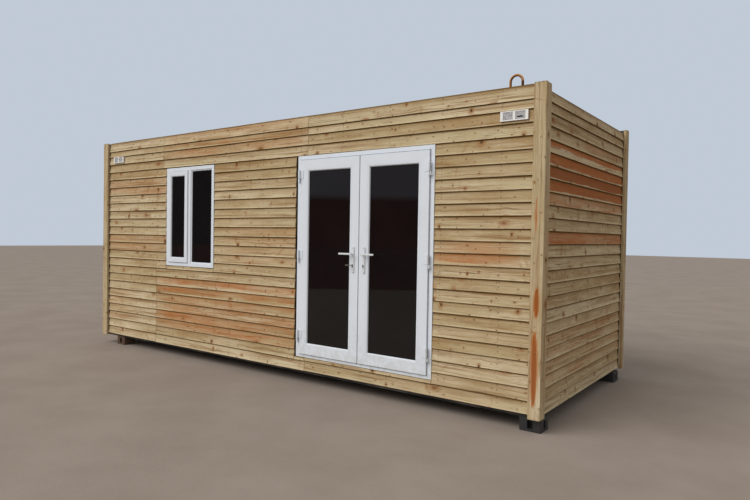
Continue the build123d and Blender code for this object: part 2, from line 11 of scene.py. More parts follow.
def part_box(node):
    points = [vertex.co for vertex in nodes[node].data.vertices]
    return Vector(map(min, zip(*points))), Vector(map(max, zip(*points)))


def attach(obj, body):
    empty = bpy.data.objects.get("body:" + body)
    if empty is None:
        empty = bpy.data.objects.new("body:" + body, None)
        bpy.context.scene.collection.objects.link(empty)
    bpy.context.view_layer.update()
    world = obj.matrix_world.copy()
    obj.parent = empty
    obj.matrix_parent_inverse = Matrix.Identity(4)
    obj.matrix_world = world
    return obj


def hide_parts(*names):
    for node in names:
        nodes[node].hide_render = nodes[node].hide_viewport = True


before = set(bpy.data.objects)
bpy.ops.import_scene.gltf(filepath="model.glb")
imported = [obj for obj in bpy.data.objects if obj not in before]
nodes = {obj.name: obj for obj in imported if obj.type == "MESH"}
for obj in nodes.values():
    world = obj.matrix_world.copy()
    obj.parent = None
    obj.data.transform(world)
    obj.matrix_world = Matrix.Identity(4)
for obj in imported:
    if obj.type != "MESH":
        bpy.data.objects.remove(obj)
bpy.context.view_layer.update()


# Feet: four steel corner castings that carry the chassis, with a lashing pocket in each outward face.
# Sand castings have soft edges and a grainy skin. The right-hand pair keeps its grey paint, and the left-hand
# pair has lost most of it and turned a dull brown.
class Field:
    """Output of a shader or geometry node, so that sums of nodes read like plain arithmetic."""

    def __init__(self, socket):
        self.socket = socket

    def math(self, operation, *others, clamp=False):
        node = add(self.socket.id_data, "ShaderNodeMath", operation=operation, use_clamp=clamp)
        for slot, value in enumerate((self, *others)):
            put(node.inputs[slot], value)
        return Field(node.outputs[0])

    __add__ = partialmethod(math, "ADD")
    __sub__ = partialmethod(math, "SUBTRACT")
    __mul__ = partialmethod(math, "MULTIPLY")
    __truediv__ = partialmethod(math, "DIVIDE")
    __pow__ = partialmethod(math, "POWER")
    __gt__ = partialmethod(math, "GREATER_THAN")
    __lt__ = partialmethod(math, "LESS_THAN")
    __abs__ = partialmethod(math, "ABSOLUTE")
    most = partialmethod(math, "MAXIMUM")
    least = partialmethod(math, "MINIMUM")
    root = partialmethod(math, "SQRT")
    sine = partialmethod(math, "SINE")
    fraction = partialmethod(math, "FRACT")
    clamped = partialmethod(math, "ADD", 0.0, clamp=True)

    def rise(self, low, high, start=0.0, end=1.0):
        """Smooth change from start to end while the field goes from low to high."""
        ends = {"Value": self, "From Min": low, "From Max": high, "To Min": start, "To Max": end}
        return made(self.socket.id_data, "ShaderNodeMapRange", ends, interpolation_type="SMOOTHSTEP")

    def parts(self):
        node = add(self.socket.id_data, "ShaderNodeSeparateXYZ", {"Vector": self})
        return [Field(output) for output in node.outputs]

    def vector_math(self, operation, other):
        return made(self.socket.id_data, "ShaderNodeVectorMath", {0: self, 1: other}, operation=operation)

    def tint(self, first, second):
        """Colour between first and second, with this field as the share of the second."""
        return made(self.socket.id_data, "ShaderNodeMix", {0: self, 6: first, 7: second}, 2, data_type="RGBA")

    def noise(self, scale, detail=3.0, roughness=0.55, stretch=None):
        """Noise read at this vector field, stretched by a vector first."""
        place = self.vector_math("MULTIPLY", stretch) if stretch else self
        inputs = {"Vector": place, "Scale": scale, "Detail": detail, "Roughness": roughness}
        return made(self.socket.id_data, "ShaderNodeTexNoise", inputs)


def put(socket, value):
    """Link a field to an input, or set the input's own value."""
    if isinstance(value, Field):
        socket.id_data.links.new(value.socket, socket)
    elif socket.type == "RGBA" and len(value) == 3:
        socket.default_value = (*value, 1.0)
    else:
        socket.default_value = value


def fill(node, inputs):
    """Sets inputs given by name or place."""
    for label, value in inputs.items():
        put(node.inputs[label], value)
    return node


def add(tree, kind, inputs=None, **settings):
    """New node with its settings and inputs."""
    node = tree.nodes.new(kind)
    for name, value in settings.items():
        setattr(node, name, value)
    return fill(node, inputs or {})


def made(tree, kind, inputs=None, output=0, **settings):
    """Output of a new node."""
    return Field(add(tree, kind, inputs, **settings).outputs[output])


def join_xyz(x, y, z):
    known = next(value for value in (x, y, z) if isinstance(value, Field))
    return made(known.socket.id_data, "ShaderNodeCombineXYZ", {"X": x, "Y": y, "Z": z})


def node_group(name, kind, inputs, outputs):
    """Node group from sockets {name: kind}, its inputs as fields by name, and the node for its outputs."""
    tree = bpy.data.node_groups.new(name, kind)
    for way, sockets in (("INPUT", inputs), ("OUTPUT", outputs)):
        for label, socket in sockets.items():
            tree.interface.new_socket(label, in_out=way, socket_type="NodeSocket" + socket)
    source = tree.nodes.new("NodeGroupInput")
    return tree, {label: Field(source.outputs[label]) for label in inputs}, tree.nodes.new("NodeGroupOutput")


def use_effect(material, group, inputs):
    node = add(material.node_tree, "ShaderNodeGroup", node_tree=group)
    return {output.name: Field(output) for output in fill(node, inputs).outputs}


def finish_of(name, bump, **sockets):
    """Material with bump in metres, its object coordinates, and the function that sets its look."""
    material = bpy.data.materials.new(name)
    material.use_nodes = True
    shader = fill(
        material.node_tree.nodes["Principled BSDF"],
        {label.replace("_", " "): value for label, value in sockets.items()},
    )
    dents = add(material.node_tree, "ShaderNodeBump", {"Strength": 1.0, "Distance": bump})
    put(shader.inputs["Normal"], Field(dents.outputs[0]))

    def dress(colour, roughness, height):
        fill(shader, {"Base Color": colour, "Roughness": roughness})
        put(dents.inputs["Height"], height)

    return material, made(material.node_tree, "ShaderNodeTexCoord", output="Object"), dress


rust_group, given, rust_out = node_group(
    "rust_bloom",
    "ShaderNodeTree",
    {"Place": "Vector", "Amount": "Float"},
    {"Mask": "Float", "Rust": "Color", "Pits": "Float"},
)
patch = given["Place"].noise(9.0, 6.0, 0.62)
fine = given["Place"].noise(140.0, 4.0, 0.6)
rusty = (patch + given["Amount"] * 1.1 - 0.55 + (fine - 0.5) * 0.25).rise(0.42, 0.6)
rust_tone = given["Place"].noise(55.0, 5.0, 0.7).rise(0.32, 0.66)
rust_colour = rust_tone.tint((0.085, 0.035, 0.018), (0.36, 0.135, 0.035))
fill(rust_out, {"Mask": rusty, "Rust": rust_colour, "Pits": fine * rusty})


def painted_steel(name, paint, rust_share, roughness=0.5, casting=0.0012, dust_share=0.45):
    """Paint over steel that rusts through by a share, with road dust in the paint."""
    material, place, dress = finish_of(name, casting)
    rust = use_effect(material, rust_group, {"Place": place, "Amount": rust_share})
    dust = place.noise(3.5, 5.0, 0.6).rise(0.4, 0.75, 0.0, dust_share)
    dress(
        rust["Mask"].tint(dust.tint(paint, (0.27, 0.235, 0.19)), rust["Rust"]),
        rust["Mask"] * 0.3 + (dust * 0.4 + roughness),
        place.noise(260.0, 2.0) * 0.5 + rust["Pits"],
    )
    return material


def mesh_piece(name, mesh, body, slot, replaced=(), crease=35.0):
    """Puts a finished mesh in the scene with flat faces kept flat, under its body, and hides the parts it
    replaces.
    """
    mesh.shade_smooth()
    mesh.set_sharp_from_angle(angle=math.radians(crease))
    piece = bpy.data.objects.new(name, mesh)
    bpy.context.scene.collection.objects.link(piece)
    flatten = piece.modifiers.new("flatten", "WEIGHTED_NORMAL")
    flatten.keep_sharp = True
    piece.data = evaluated_mesh(piece)
    piece.data.name = name
    piece.modifiers.remove(flatten)
    bpy.data.meshes.remove(mesh)
    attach(piece, body)
    if replaced:
        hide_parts(*replaced)


def evaluated_mesh(piece):
    graph = bpy.context.evaluated_depsgraph_get()
    return bpy.data.meshes.new_from_object(
        piece.evaluated_get(graph), preserve_all_data_layers=True, depsgraph=graph
    )


def solid_piece(bm, name, material, *says, **more):
    """Piece of one material from closed shells, with its normals turned outwards."""
    bmesh.ops.recalc_face_normals(bm, faces=bm.faces)
    mesh = bpy.data.meshes.new(name)
    bm.to_mesh(mesh)
    bm.free()
    mesh.materials.append(material)
    mesh_piece(name, mesh, *says, **more)


def softened(node, name, material, width, body, slot, segments=3, crease=35.0):
    """Piece shaped as a CAD solid with its hard edges rounded over."""
    bm = bmesh.new()
    bm.from_mesh(nodes[node].data)
    bmesh.ops.remove_doubles(bm, verts=bm.verts, dist=1e-5)
    bmesh.ops.dissolve_limit(bm, angle_limit=math.radians(1.0), verts=bm.verts, edges=bm.edges)
    corner = math.radians(30)
    sharp = [edge for edge in bm.edges if len(edge.link_faces) == 2 and edge.calc_face_angle() > corner]
    bmesh.ops.bevel(bm, geom=sharp, offset=width, segments=segments, profile=0.5, affect="EDGES")
    solid_piece(bm, name, material, body, slot, [node], crease)


foot_grey = painted_steel("grey_painted_casting", (0.031, 0.032, 0.034), 0.2, dust_share=0.16)
foot_rusty = painted_steel("rusted_casting", (0.095, 0.058, 0.038), 0.36, dust_share=0.3)
for end, skin, slot in (("left", foot_rusty, "foot_rusty"), ("right", foot_grey, "foot_grey")):
    for side in ("front", "back"):
        softened(f"foot_{side}_{end}", f"casting_{side}_{end}", skin, 0.004, "cabin", slot)


# Chassis: channels of hot-rolled steel, welded up and brushed with black paint that dust dulls.
# The channels and the corner tubes have the right section already, so they only take the paint.
def painted_nodes(names, material):
    for name in names:
        nodes[name].data.materials.clear()
        nodes[name].data.materials.append(material)


chassis_paint = painted_steel("chassis_black", (0.022, 0.022, 0.024), 0.3, roughness=0.42, casting=0.0006)
painted_nodes(("side_rails", "end_rails", "cross_members", "corner_posts"), chassis_paint)

# Floor: exterior plywood sheets screwed to the cross members and rolled with a grey floor paint.
# Sheet joints run across the cabin, and feet have worn the paint towards the doors.
floor_paint, place, dress = finish_of("floor_paint", 0.0006)
sheet_length, joint_half_width = 1.22, 0.0015
sheet_phase = (place.parts()[0] / sheet_length).fraction()
joint = (abs(sheet_phase - 0.5) * sheet_length).rise(
    sheet_length / 2 - joint_half_width * 2, sheet_length / 2 - joint_half_width
)
worn = place.noise(2.2, 5.0, 0.6).rise(0.45, 0.72)
dress(
    joint.tint(worn.tint((0.2, 0.195, 0.185), (0.33, 0.285, 0.22)), (0.03, 0.028, 0.025)),
    worn.rise(0.0, 1.0, 0.42, 0.7),
    place.noise(45.0, 3.0, stretch=(0.2, 1.0, 1.0)) - joint * 3.0,
)
painted_nodes(("floor_deck",), floor_paint)

# Walls: timber frames, lined inside with painted board and wrapped outside in a dark breather membrane.
# Cover strips hide the joints of the lining. The tops of the frames are bare softwood plates.
wall_depth = 0.127
half_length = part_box("corner_boards_front_right")[1].x
half_width = -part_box("corner_boards_front_right")[0].y
lining, place, dress = finish_of("wall_lining", 0.0012)
x, y, z = place.parts()
lining_band, strip_edge = 0.04, 0.003
inside_reach = lining_band - wall_depth
indoors = (abs(x) < half_length + inside_reach) * (abs(y) < half_width + inside_reach)
plate_thickness = 0.035
plate_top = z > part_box("back_wall")[1].z - plate_thickness
board_module, strip_half = 1.2, 0.02
strip_x = abs((x / board_module).fraction() - 0.5) * board_module
strip_y = abs((y / board_module + 0.5).fraction() - 0.5) * board_module
end_face = abs(x) > half_length - wall_depth - 0.002
strip_run = end_face * strip_y + (end_face * -1.0 + 1.0) * strip_x
strip = strip_run.rise(strip_half, strip_half + strip_edge, 1.0, 0.0)
scuffs = place.noise(4.0, 6.0, 0.65).rise(0.5, 0.8)
painted = scuffs.tint((0.71, 0.7, 0.66), (0.58, 0.56, 0.5))
membrane = place.noise(30.0, 4.0).rise(0.3, 0.7).tint((0.012, 0.013, 0.015), (0.03, 0.03, 0.032))
plate_grain = place.noise(12.0, 4.0, stretch=(0.3, 4.0, 4.0)).rise(0.3, 0.7)
plate_wood = plate_grain.tint((0.36, 0.24, 0.12), (0.5, 0.38, 0.22))
dress(
    plate_top.tint(indoors.tint(membrane, painted), plate_wood),
    scuffs.rise(0.0, 1.0, 0.5, 0.68),
    strip * indoors * 1.5 + place.noise(180.0, 2.0) * 0.1,
)
wall_nodes = [name for name in nodes if name.startswith("front_wall_") or name.endswith("_wall")]
painted_nodes((*wall_nodes, "roof_deck"), lining)

# Cladding: feather-edge boards of green-treated pine, nailed to the frames. Each thick lower edge laps over
# the thin top of the board below. Butt joints stand over the joints of the frame, and boards are cut by hand
# round the doors and the window, so their ends are a little uneven.
sawn_inputs = dict.fromkeys(("Tone", "Stain", "Height", "From End", "Tide"), "Float") | {"Grain": "Vector"}
sawn_outputs = {"Colour": "Color", "Gloss": "Float", "Relief": "Float"}
sawn_group, given, sawn_out = node_group("sawn_pine", "ShaderNodeTree", sawn_inputs, sawn_outputs)
tone, stain, height, from_end, tide, grain_place = given.values()
stud_spacing, least_knot = 0.536, 0.003


def knot_field(number, cell_length, cell_height, rarity, widest):
    """Knots in cells along a board: mask, halo, how far they bend the grain, rings and a random share."""
    cells = join_xyz(along / cell_length + number * 17.3, across / cell_height + number * 9.1, 0.0)
    inputs = {"Vector": cells, "Scale": 1.0}
    spots = add(sawn_group, "ShaderNodeTexVoronoi", inputs, voronoi_dimensions="2D")
    spot_x, spot_y, _ = cells.vector_math("SUBTRACT", Field(spots.outputs["Position"])).parts()
    chance, size, kind = Field(spots.outputs["Color"]).parts()
    away_x, away_y = spot_x * cell_length, spot_y * cell_height
    present = chance > rarity
    radius = size**1.7 * (widest - least_knot) + least_knot
    slender = kind.rise(0.0, 1.0, 0.35, 1.5)
    wobble = grain_place.noise(90.0, 3.0) * 0.007 - 0.0035
    distance = (away_x * away_x * slender + away_y * away_y / (slender + 0.35)).root()
    reach = (distance + wobble) / radius
    far = (away_x / (radius * 5.0)) ** 2.0
    bend = radius * 1.5 * away_y / (abs(away_y) + radius) / (far + 1.0) * present
    rings = (reach * 9.0).sine() * 0.5 + 0.5
    mask, halo = (reach.rise(low, high, 1.0, 0.0) * present for low, high in ((0.6, 1.2), (0.9, 3.6)))
    return mask, halo, bend, rings, kind


def drawn(x, y, z, detail=3.0, roughness=0.55):
    """Noise drawn out along the board."""
    return join_xyz(x, y, z).noise(1.0, detail, roughness)


along, across, number = grain_place.parts()
knot, halo, knot_bend, knot_rings, knot_kind = knot_field(number, 0.47, 0.12, 0.36, 0.0185)
pin_knot, pin_halo, pin_bend, _, _ = knot_field(number + 3.7, 0.19, 0.05, 0.5, 0.0065)
flow = across - knot_bend - pin_bend * 0.6
drift = drawn(along * 0.5 + number * 5.1, flow * 7.0, number * 3.3, 2.0) * 0.1
ring_wander = drawn(along * 1.6, flow * 30.0, number) * 5.0
late_wood = (((flow + drift) * 620.0 + ring_wander).sine() * 0.5 + 0.5) ** 2.4
fibre = drawn(along * 6.0, flow * 520.0, number, 4.0, 0.6)
streak = drawn(along * 0.9, flow * 38.0, number * 2.1, 4.0, 0.62)
cloud = drawn(along * 2.3, across * 9.0, number * 4.7, 5.0, 0.66)
slow = drawn(along * 0.6, number * 3.7, 2.0)
warmth = (tone * 0.62 + cloud * 1.9 - 0.78).clamped()
green = drawn(along * 0.8 + 40.0, across * 4.0, number * 7.9).rise(0.42, 0.7, 0.0, 0.6)
spike = drawn(along * 8.5 + across * (slow * 60.0 - 30.0), across * 2.2, number * 5.3)
spike_rough = drawn(along * 60.0, across * 30.0, number, 3.0, 0.6) * 0.14
blush = (spike + spike_rough).rise(0.68, 0.84, 0.0, 0.65)
checks = drawn(along * 1.2, across * 105.0, number * 8.3, 2.0).rise(0.69, 0.73, 0.0, 0.8)
# Stains, dark where soaked, kept off the lower part of a board by its tide mark
tide_wave = drawn(along * 0.8, number * 6.1, 0.0, 4.0, 0.65).rise(0.25, 0.75, -0.22, 0.22)
above_tide = (height - tide - tide_wave * tide.rise(0.0, 0.2)).rise(-0.02, 0.07)
stain_patch = drawn(along * 1.6, across * 13.0, number * 1.9, 5.0, 0.66) * 2.1 - 1.05
stain_mask = (stain + stain_patch * stain.rise(0.0, 0.45)).clamped() * (above_tide * 0.85 + 0.15)
soaked = late_wood * 0.35 + streak * 0.7 + stain.rise(1.0, 1.6, 0.0, 0.7)
stain_colour = soaked.rise(0.2, 0.85).tint((0.5, 0.16, 0.032), (0.31, 0.085, 0.014))
# Darker towards each board's top, partly weathering and partly painted shade from the lap above; a pale lower
# band, painted highlight where the thick edge catches light on paler wood
weather_and_lap_shade = height.rise(0.35, 0.95) * slow.rise(0.3, 0.7, 0.1, 0.6)
edge_chips = drawn(along * 14.0, number * 2.3, 0.0) * 0.12
pale_edge_and_highlight = (height + edge_chips).rise(0.12, 0.26, 1.0, 0.0) * slow.rise(0.4, 0.62, 0.68, 0.08)
# Painted shade: a dark strip just below the next board's butt, and the butt's underside darkened
under_lap_shade = (height + edge_chips * 0.4).rise(0.84, 0.985, 0.0, 0.85)
lap_and_butt_shade = under_lap_shade.most(height.rise(0.0, 0.012, 0.85, 0.0))
# Painted shade on the face beside each board end, at butt joints and cuts
end_shade = (from_end + fibre * 0.004).rise(0.003, 0.012, 0.35, 0.0)
grime = drawn(along * 5.0, across * 26.0, number, 5.0, 0.7).rise(0.55, 0.74, 0.0, 0.5)
knot_mask = (knot * knot_kind.rise(0.15, 0.7, 0.6, 1.0)).most(pin_knot * 0.9)
knot_colour = (knot_kind * 0.65 + knot_rings * 0.35).tint((0.15, 0.066, 0.024), (0.04, 0.02, 0.01))
# Rust round the nails, which stand in two rows at these shares of a board's height
row_middle, row_half_gap, row_scale, grain_shift = 0.624, 0.182, 0.09, 0.37
stud_away = (((along - number * grain_shift) / stud_spacing + 0.5).fraction() - 0.5) * stud_spacing
row_away = (abs(height - row_middle) - row_half_gap) * row_scale
nail_away = (stud_away**2.0 + row_away**2.0).root()
bleed = (nail_away + fibre * 0.006).rise(0.005, 0.0105, 1.0, 0.0) * slow.rise(0.35, 0.6, 0.2, 0.75)
timber = warmth.tint((0.43, 0.3, 0.148), (0.79, 0.7, 0.495))
for share, colour in (
    (green, (0.57, 0.5, 0.3)),
    (late_wood * streak.rise(0.25, 0.7, 0.25, 0.8), (0.36, 0.22, 0.095)),
    (streak.rise(0.49, 0.7, 0.0, 0.85), (0.29, 0.165, 0.07)),
    (fibre.rise(0.35, 0.75, 0.0, 0.3), (0.24, 0.155, 0.078)),
    (blush, (0.31, 0.145, 0.055)),
    (checks, (0.085, 0.05, 0.028)),
    # Darker towards the top: weathering with painted shade from the lap above
    (weather_and_lap_shade, (0.33, 0.205, 0.095)),
    # Pale lower band: painted highlight where the thick edge catches light, on paler wood
    (pale_edge_and_highlight * 0.85, (0.76, 0.64, 0.42)),
    (stain_mask * 0.93, stain_colour),
    ((halo * 0.72).most(pin_halo * 0.4), (0.34, 0.16, 0.06)),
    (knot_mask * 0.95, knot_colour),
    (bleed, (0.075, 0.045, 0.028)),
    # Painted shade under the laps, on the butts' undersides and beside board ends
    (lap_and_butt_shade.most(end_shade), (0.15, 0.078, 0.012)),
    (grime * (stain_mask * -0.6 + 1.0), (0.2, 0.14, 0.08)),
):
    timber = share.tint(timber, colour)
saw_marks = (along * 900.0 + fibre * 3.0).sine() * 0.1
relief = fibre * 0.6 + late_wood * 0.4 + saw_marks - knot_mask * 0.5 - checks * 1.2
fill(sawn_out, {"Colour": timber, "Gloss": knot_mask.rise(0.0, 1.0, 0.82, 0.55), "Relief": relief})


def pine(name, texture=0.0009):
    """Treated softwood that reads its grain, tone, stain and height on the board from the piece."""
    material, _, dress = finish_of(name, texture, Specular_IOR_Level=0.2)
    grain, marks, ends = (
        made(material.node_tree, "ShaderNodeAttribute", output="Vector", attribute_name=label)
        for label in ("grain", "marks", "ends")
    )
    from_start, to_end, tide = ends.parts()
    values = (*marks.parts(), from_start.least(to_end), tide, grain)
    wood = use_effect(material, sawn_group, dict(zip(sawn_inputs, values)))
    dress(wood["Colour"], wood["Gloss"], wood["Relief"])
    return material


def grown(name, rows, tree, values):
    """Plain mesh that a geometry node tree makes from points, their named vectors and its named sizes."""
    start = bpy.data.meshes.new(name)
    start.from_pydata(rows.pop("position"), [], [])
    for label, vectors in rows.items():
        layer = start.attributes.new(label, "FLOAT_VECTOR", "POINT")
        for value, vector in zip(layer.data, vectors):
            value.vector = vector
    seedling = bpy.data.objects.new(name, start)
    bpy.context.scene.collection.objects.link(seedling)
    modifier = seedling.modifiers.new("nodes", "NODES")
    modifier.node_group = tree
    for item in tree.interface.items_tree:
        if item.in_out == "INPUT" and item.name in values:
            modifier[item.identifier] = values[item.name]
    mesh = evaluated_mesh(seedling)
    seedling.modifiers.remove(modifier)
    bpy.data.objects.remove(seedling)
    mesh.name = name
    return mesh


def stored(tree, name):
    return made(tree, "GeometryNodeInputNamedAttribute", {"Name": name}, data_type="FLOAT_VECTOR")


def keep(tree, geometry, name, value):
    inputs = {"Geometry": geometry, "Name": name, "Value": value}
    return made(tree, "GeometryNodeStoreNamedAttribute", inputs, data_type="FLOAT_VECTOR")


board_section = {
    "Butt Depth": 0.027,
    "Lap Depth": 0.0125,
    "Butt Thickness": 0.0125,
    "Top Thickness": 0.006,
    "Eased Edge": 0.0012,
    "Warp": 0.0045,
}
lapped, given, lapped_out = node_group(
    "lapped_boards",
    "GeometryNodeTree",
    {"Geometry": "Geometry", "Wall Face": "Vector", "Turn": "Float", "Wood": "Material"}
    | dict.fromkeys(board_section, "Float"),
    {"Geometry": "Geometry"},
)
block = {"Size": (1, 1, 1), "Vertices X": 33, "Vertices Y": 2, "Vertices Z": 6}
block = made(lapped, "GeometryNodeMeshCube", block)
unit = made(lapped, "GeometryNodeInputPosition").vector_math("ADD", (0.5, 0.5, 0.5))
block = keep(lapped, block, "unit", unit)
boards = made(lapped, "GeometryNodeInstanceOnPoints", {"Points": given["Geometry"], "Instance": block})
boards = made(lapped, "GeometryNodeRealizeInstances", {"Geometry": boards})
unit_x, unit_y, unit_z = stored(lapped, "unit").parts()
start_x, start_z, board_number = stored(lapped, "place").parts()
board_length, board_height, grain_start = stored(lapped, "extent").parts()
slice_low, slice_high, _ = stored(lapped, "slice").parts()
board_x = start_x + unit_x * board_length
level = slice_low + unit_z**2.6 * (slice_high - slice_low)
ease = (unit_z < 0.1) * (unit_y * -1.0 + 1.0) * given["Eased Edge"]
outer = given["Butt Depth"] + level * given["Lap Depth"] + ease
thick = given["Butt Thickness"] + level * (given["Top Thickness"] - given["Butt Thickness"])
bow = {"Vector": join_xyz(board_x * 0.9, board_number * 7.7, 0.0), "Scale": 1.0, "Detail": 3.0}
bow = made(lapped, "ShaderNodeTexNoise", bow, "Color").vector_math("SUBTRACT", (0.5, 0.5, 0.5))
_, bow_y, bow_z = bow.parts()
warped = join_xyz(
    board_x,
    outer + unit_y * thick + bow_y * given["Warp"],
    start_z + level * board_height + bow_z * given["Warp"] * 1.6,
)
boards = made(lapped, "GeometryNodeSetPosition", {"Geometry": boards, "Position": warped})
grain = join_xyz(unit_x * board_length + grain_start, level * board_height + unit_y * 0.05, board_number)
boards = keep(lapped, boards, "grain", grain)
boards = keep(lapped, boards, "level", join_xyz(level, 0.0, 0.0))
ends = join_xyz(unit_x * board_length, (unit_x * -1.0 + 1.0) * board_length, 0.0)
boards = keep(lapped, boards, "ends", ends)
turn = join_xyz(0.0, 0.0, given["Turn"])
turned = {"Geometry": boards, "Translation": given["Wall Face"], "Rotation": turn}
boards = made(lapped, "GeometryNodeTransform", turned)
boards = made(lapped, "GeometryNodeSetMaterial", {"Geometry": boards, "Material": given["Wood"]})
put(lapped_out.inputs[0], boards)

board_pitch, board_lap, corner_gap = 0.1018, 0.012, 0.005
front_top_board, end_top_board = 0.113, 0.086
saw_jitter, level_jitter, joint_jitter, top_slack = 0.0035, 0.0016, 0.004, 0.02
wall_turns = {"front": 0.0, "right_end": math.pi / 2, "back": math.pi, "left_end": -math.pi / 2}
wall_reach = {"front": half_width, "back": half_width, "left_end": half_length, "right_end": half_length}


def outline(node):
    low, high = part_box(node)
    return low.x, high.x, low.z, high.z


# Boards stop short of the frames: left, right, and below and above
openings = []
for node, gaps in (("door_frame", (0.026, 0.0015, 0.006)), ("window_frame", (0.006, 0.006, 0.006))):
    left, right, bottom, top = outline(node)
    openings.append((left - gaps[0], right + gaps[1], bottom - gaps[2], top + gaps[2]))
# Butt joints, by the heights between which they stand, in metres
front_joints = ((0.0, 0.3, (-1.877, 0.617)), (0.3, 1.1, (-1.877,)), (2.2, 2.7, (-1.742, 0.629)))
back_joints = ((0.0, 1.0, (-1.1, 1.35)), (1.0, 2.05, (-0.45, 1.95)), (2.05, 2.7, (-1.1, 1.35)))
# Orange stains left where wet boards lay stacked: wall, ends and heights in metres, strength, and the share
# of each board's height that stayed pale
stains = (
    ("right_end", -1.6, 1.6, 2.154, 2.256, 1.0, 0.42),
    ("right_end", -1.6, 1.6, 1.849, 2.154, 1.3, 0.1),
    ("right_end", -1.6, 1.6, 1.747, 1.849, 0.5, 0.0),
    ("right_end", -1.6, 1.6, 1.441, 1.543, 0.85, 0.0),
    ("right_end", -0.2, 1.1, 2.256, 2.358, 0.35, 0.3),
    ("right_end", -1.6, 1.6, 0.32, 0.73, 0.2, 0.2),
    ("front", 1.95, 2.85, 1.25, 1.353, 0.62, 0.32),
    ("front", 2.1, 2.85, 1.353, 1.455, 0.45, 0.0),
    ("front", -3.2, -1.5, 1.96, 2.16, 0.25, 0.0),
    ("front", -3.2, -1.7, 1.25, 1.455, 0.22, 0.0),
    ("front", -3.2, -2.3, 0.3, 0.74, 0.16, 0.0),
    ("front", -1.877, 0.9, 0.843, 0.945, 0.6, 0.22),
    ("front", -1.877, 0.9, 0.741, 0.843, 0.66, 0.3),
    ("front", -1.877, 0.9, 0.54, 0.741, 0.32, 0.0),
    ("front", -1.877, 0.9, 0.335, 0.54, 0.45, 0.0),
    ("front", -0.76, 0.9, 1.15, 1.6, 0.16, 0.2),
    ("front", -1.742, 0.629, 2.34, 2.65, 0.26, 0.0),
    ("back", -2.0, 0.4, 1.3, 1.62, 0.6, 0.15),
    ("back", 0.6, 2.4, 0.6, 0.9, 0.5, 0.0),
    ("left_end", -0.7, 1.6, 0.9, 1.35, 0.6, 0.2),
)
stain_fade = 0.3


def stain_at(wall, x, z):
    """How stained a board is at a place on a wall, and the share of its height that stayed pale."""
    total, pale = 0.0, 0.0
    for name, left, right, low, high, strength, tide in stains:
        if name == wall and low < z < high and left < x < right:
            faded = strength * (0.35 + 0.65 * max(0.0, min(1.0, min(x - left, right - x) / stain_fade)))
            if faded > total:
                total, pale = faded, tide
    return total, pale


def board_pieces(low, high, stops, cuts, dice):
    """Boards of one course, cut at butt joints and openings: (start, end, low share, high share, part)."""
    height = high - low
    slack, shortest = 0.006, 0.02
    pieces = []
    for start, end in zip(stops, stops[1:]):
        parts = [(start, end, 0.0, 1.0 + board_lap / height, 0)]
        for left, right, bottom, top in cuts:
            if top < low + slack or bottom > high - slack:
                continue
            kept = []
            for a, b, share_low, share_high, part in parts:
                if b <= left or a >= right:
                    kept.append((a, b, share_low, share_high, part))
                    continue
                clear_through = bottom <= low + slack and top >= high - slack
                saw = dice.uniform(0.0, saw_jitter) if clear_through else 0.0
                if a < left:
                    kept.append((a, left - saw, share_low, share_high, part))
                if b > right:
                    kept.append((right + saw, b, share_low, share_high, part + clear_through))
                inner = (max(a, left), min(b, right))
                if bottom > low + slack:
                    kept.append((*inner, share_low, (bottom - low) / height, part))
                if top < high - slack:
                    kept.append((*inner, (top - low) / height, share_high, part))
            parts = kept
        pieces.append([part for part in parts if part[1] - part[0] > shortest])
    return pieces


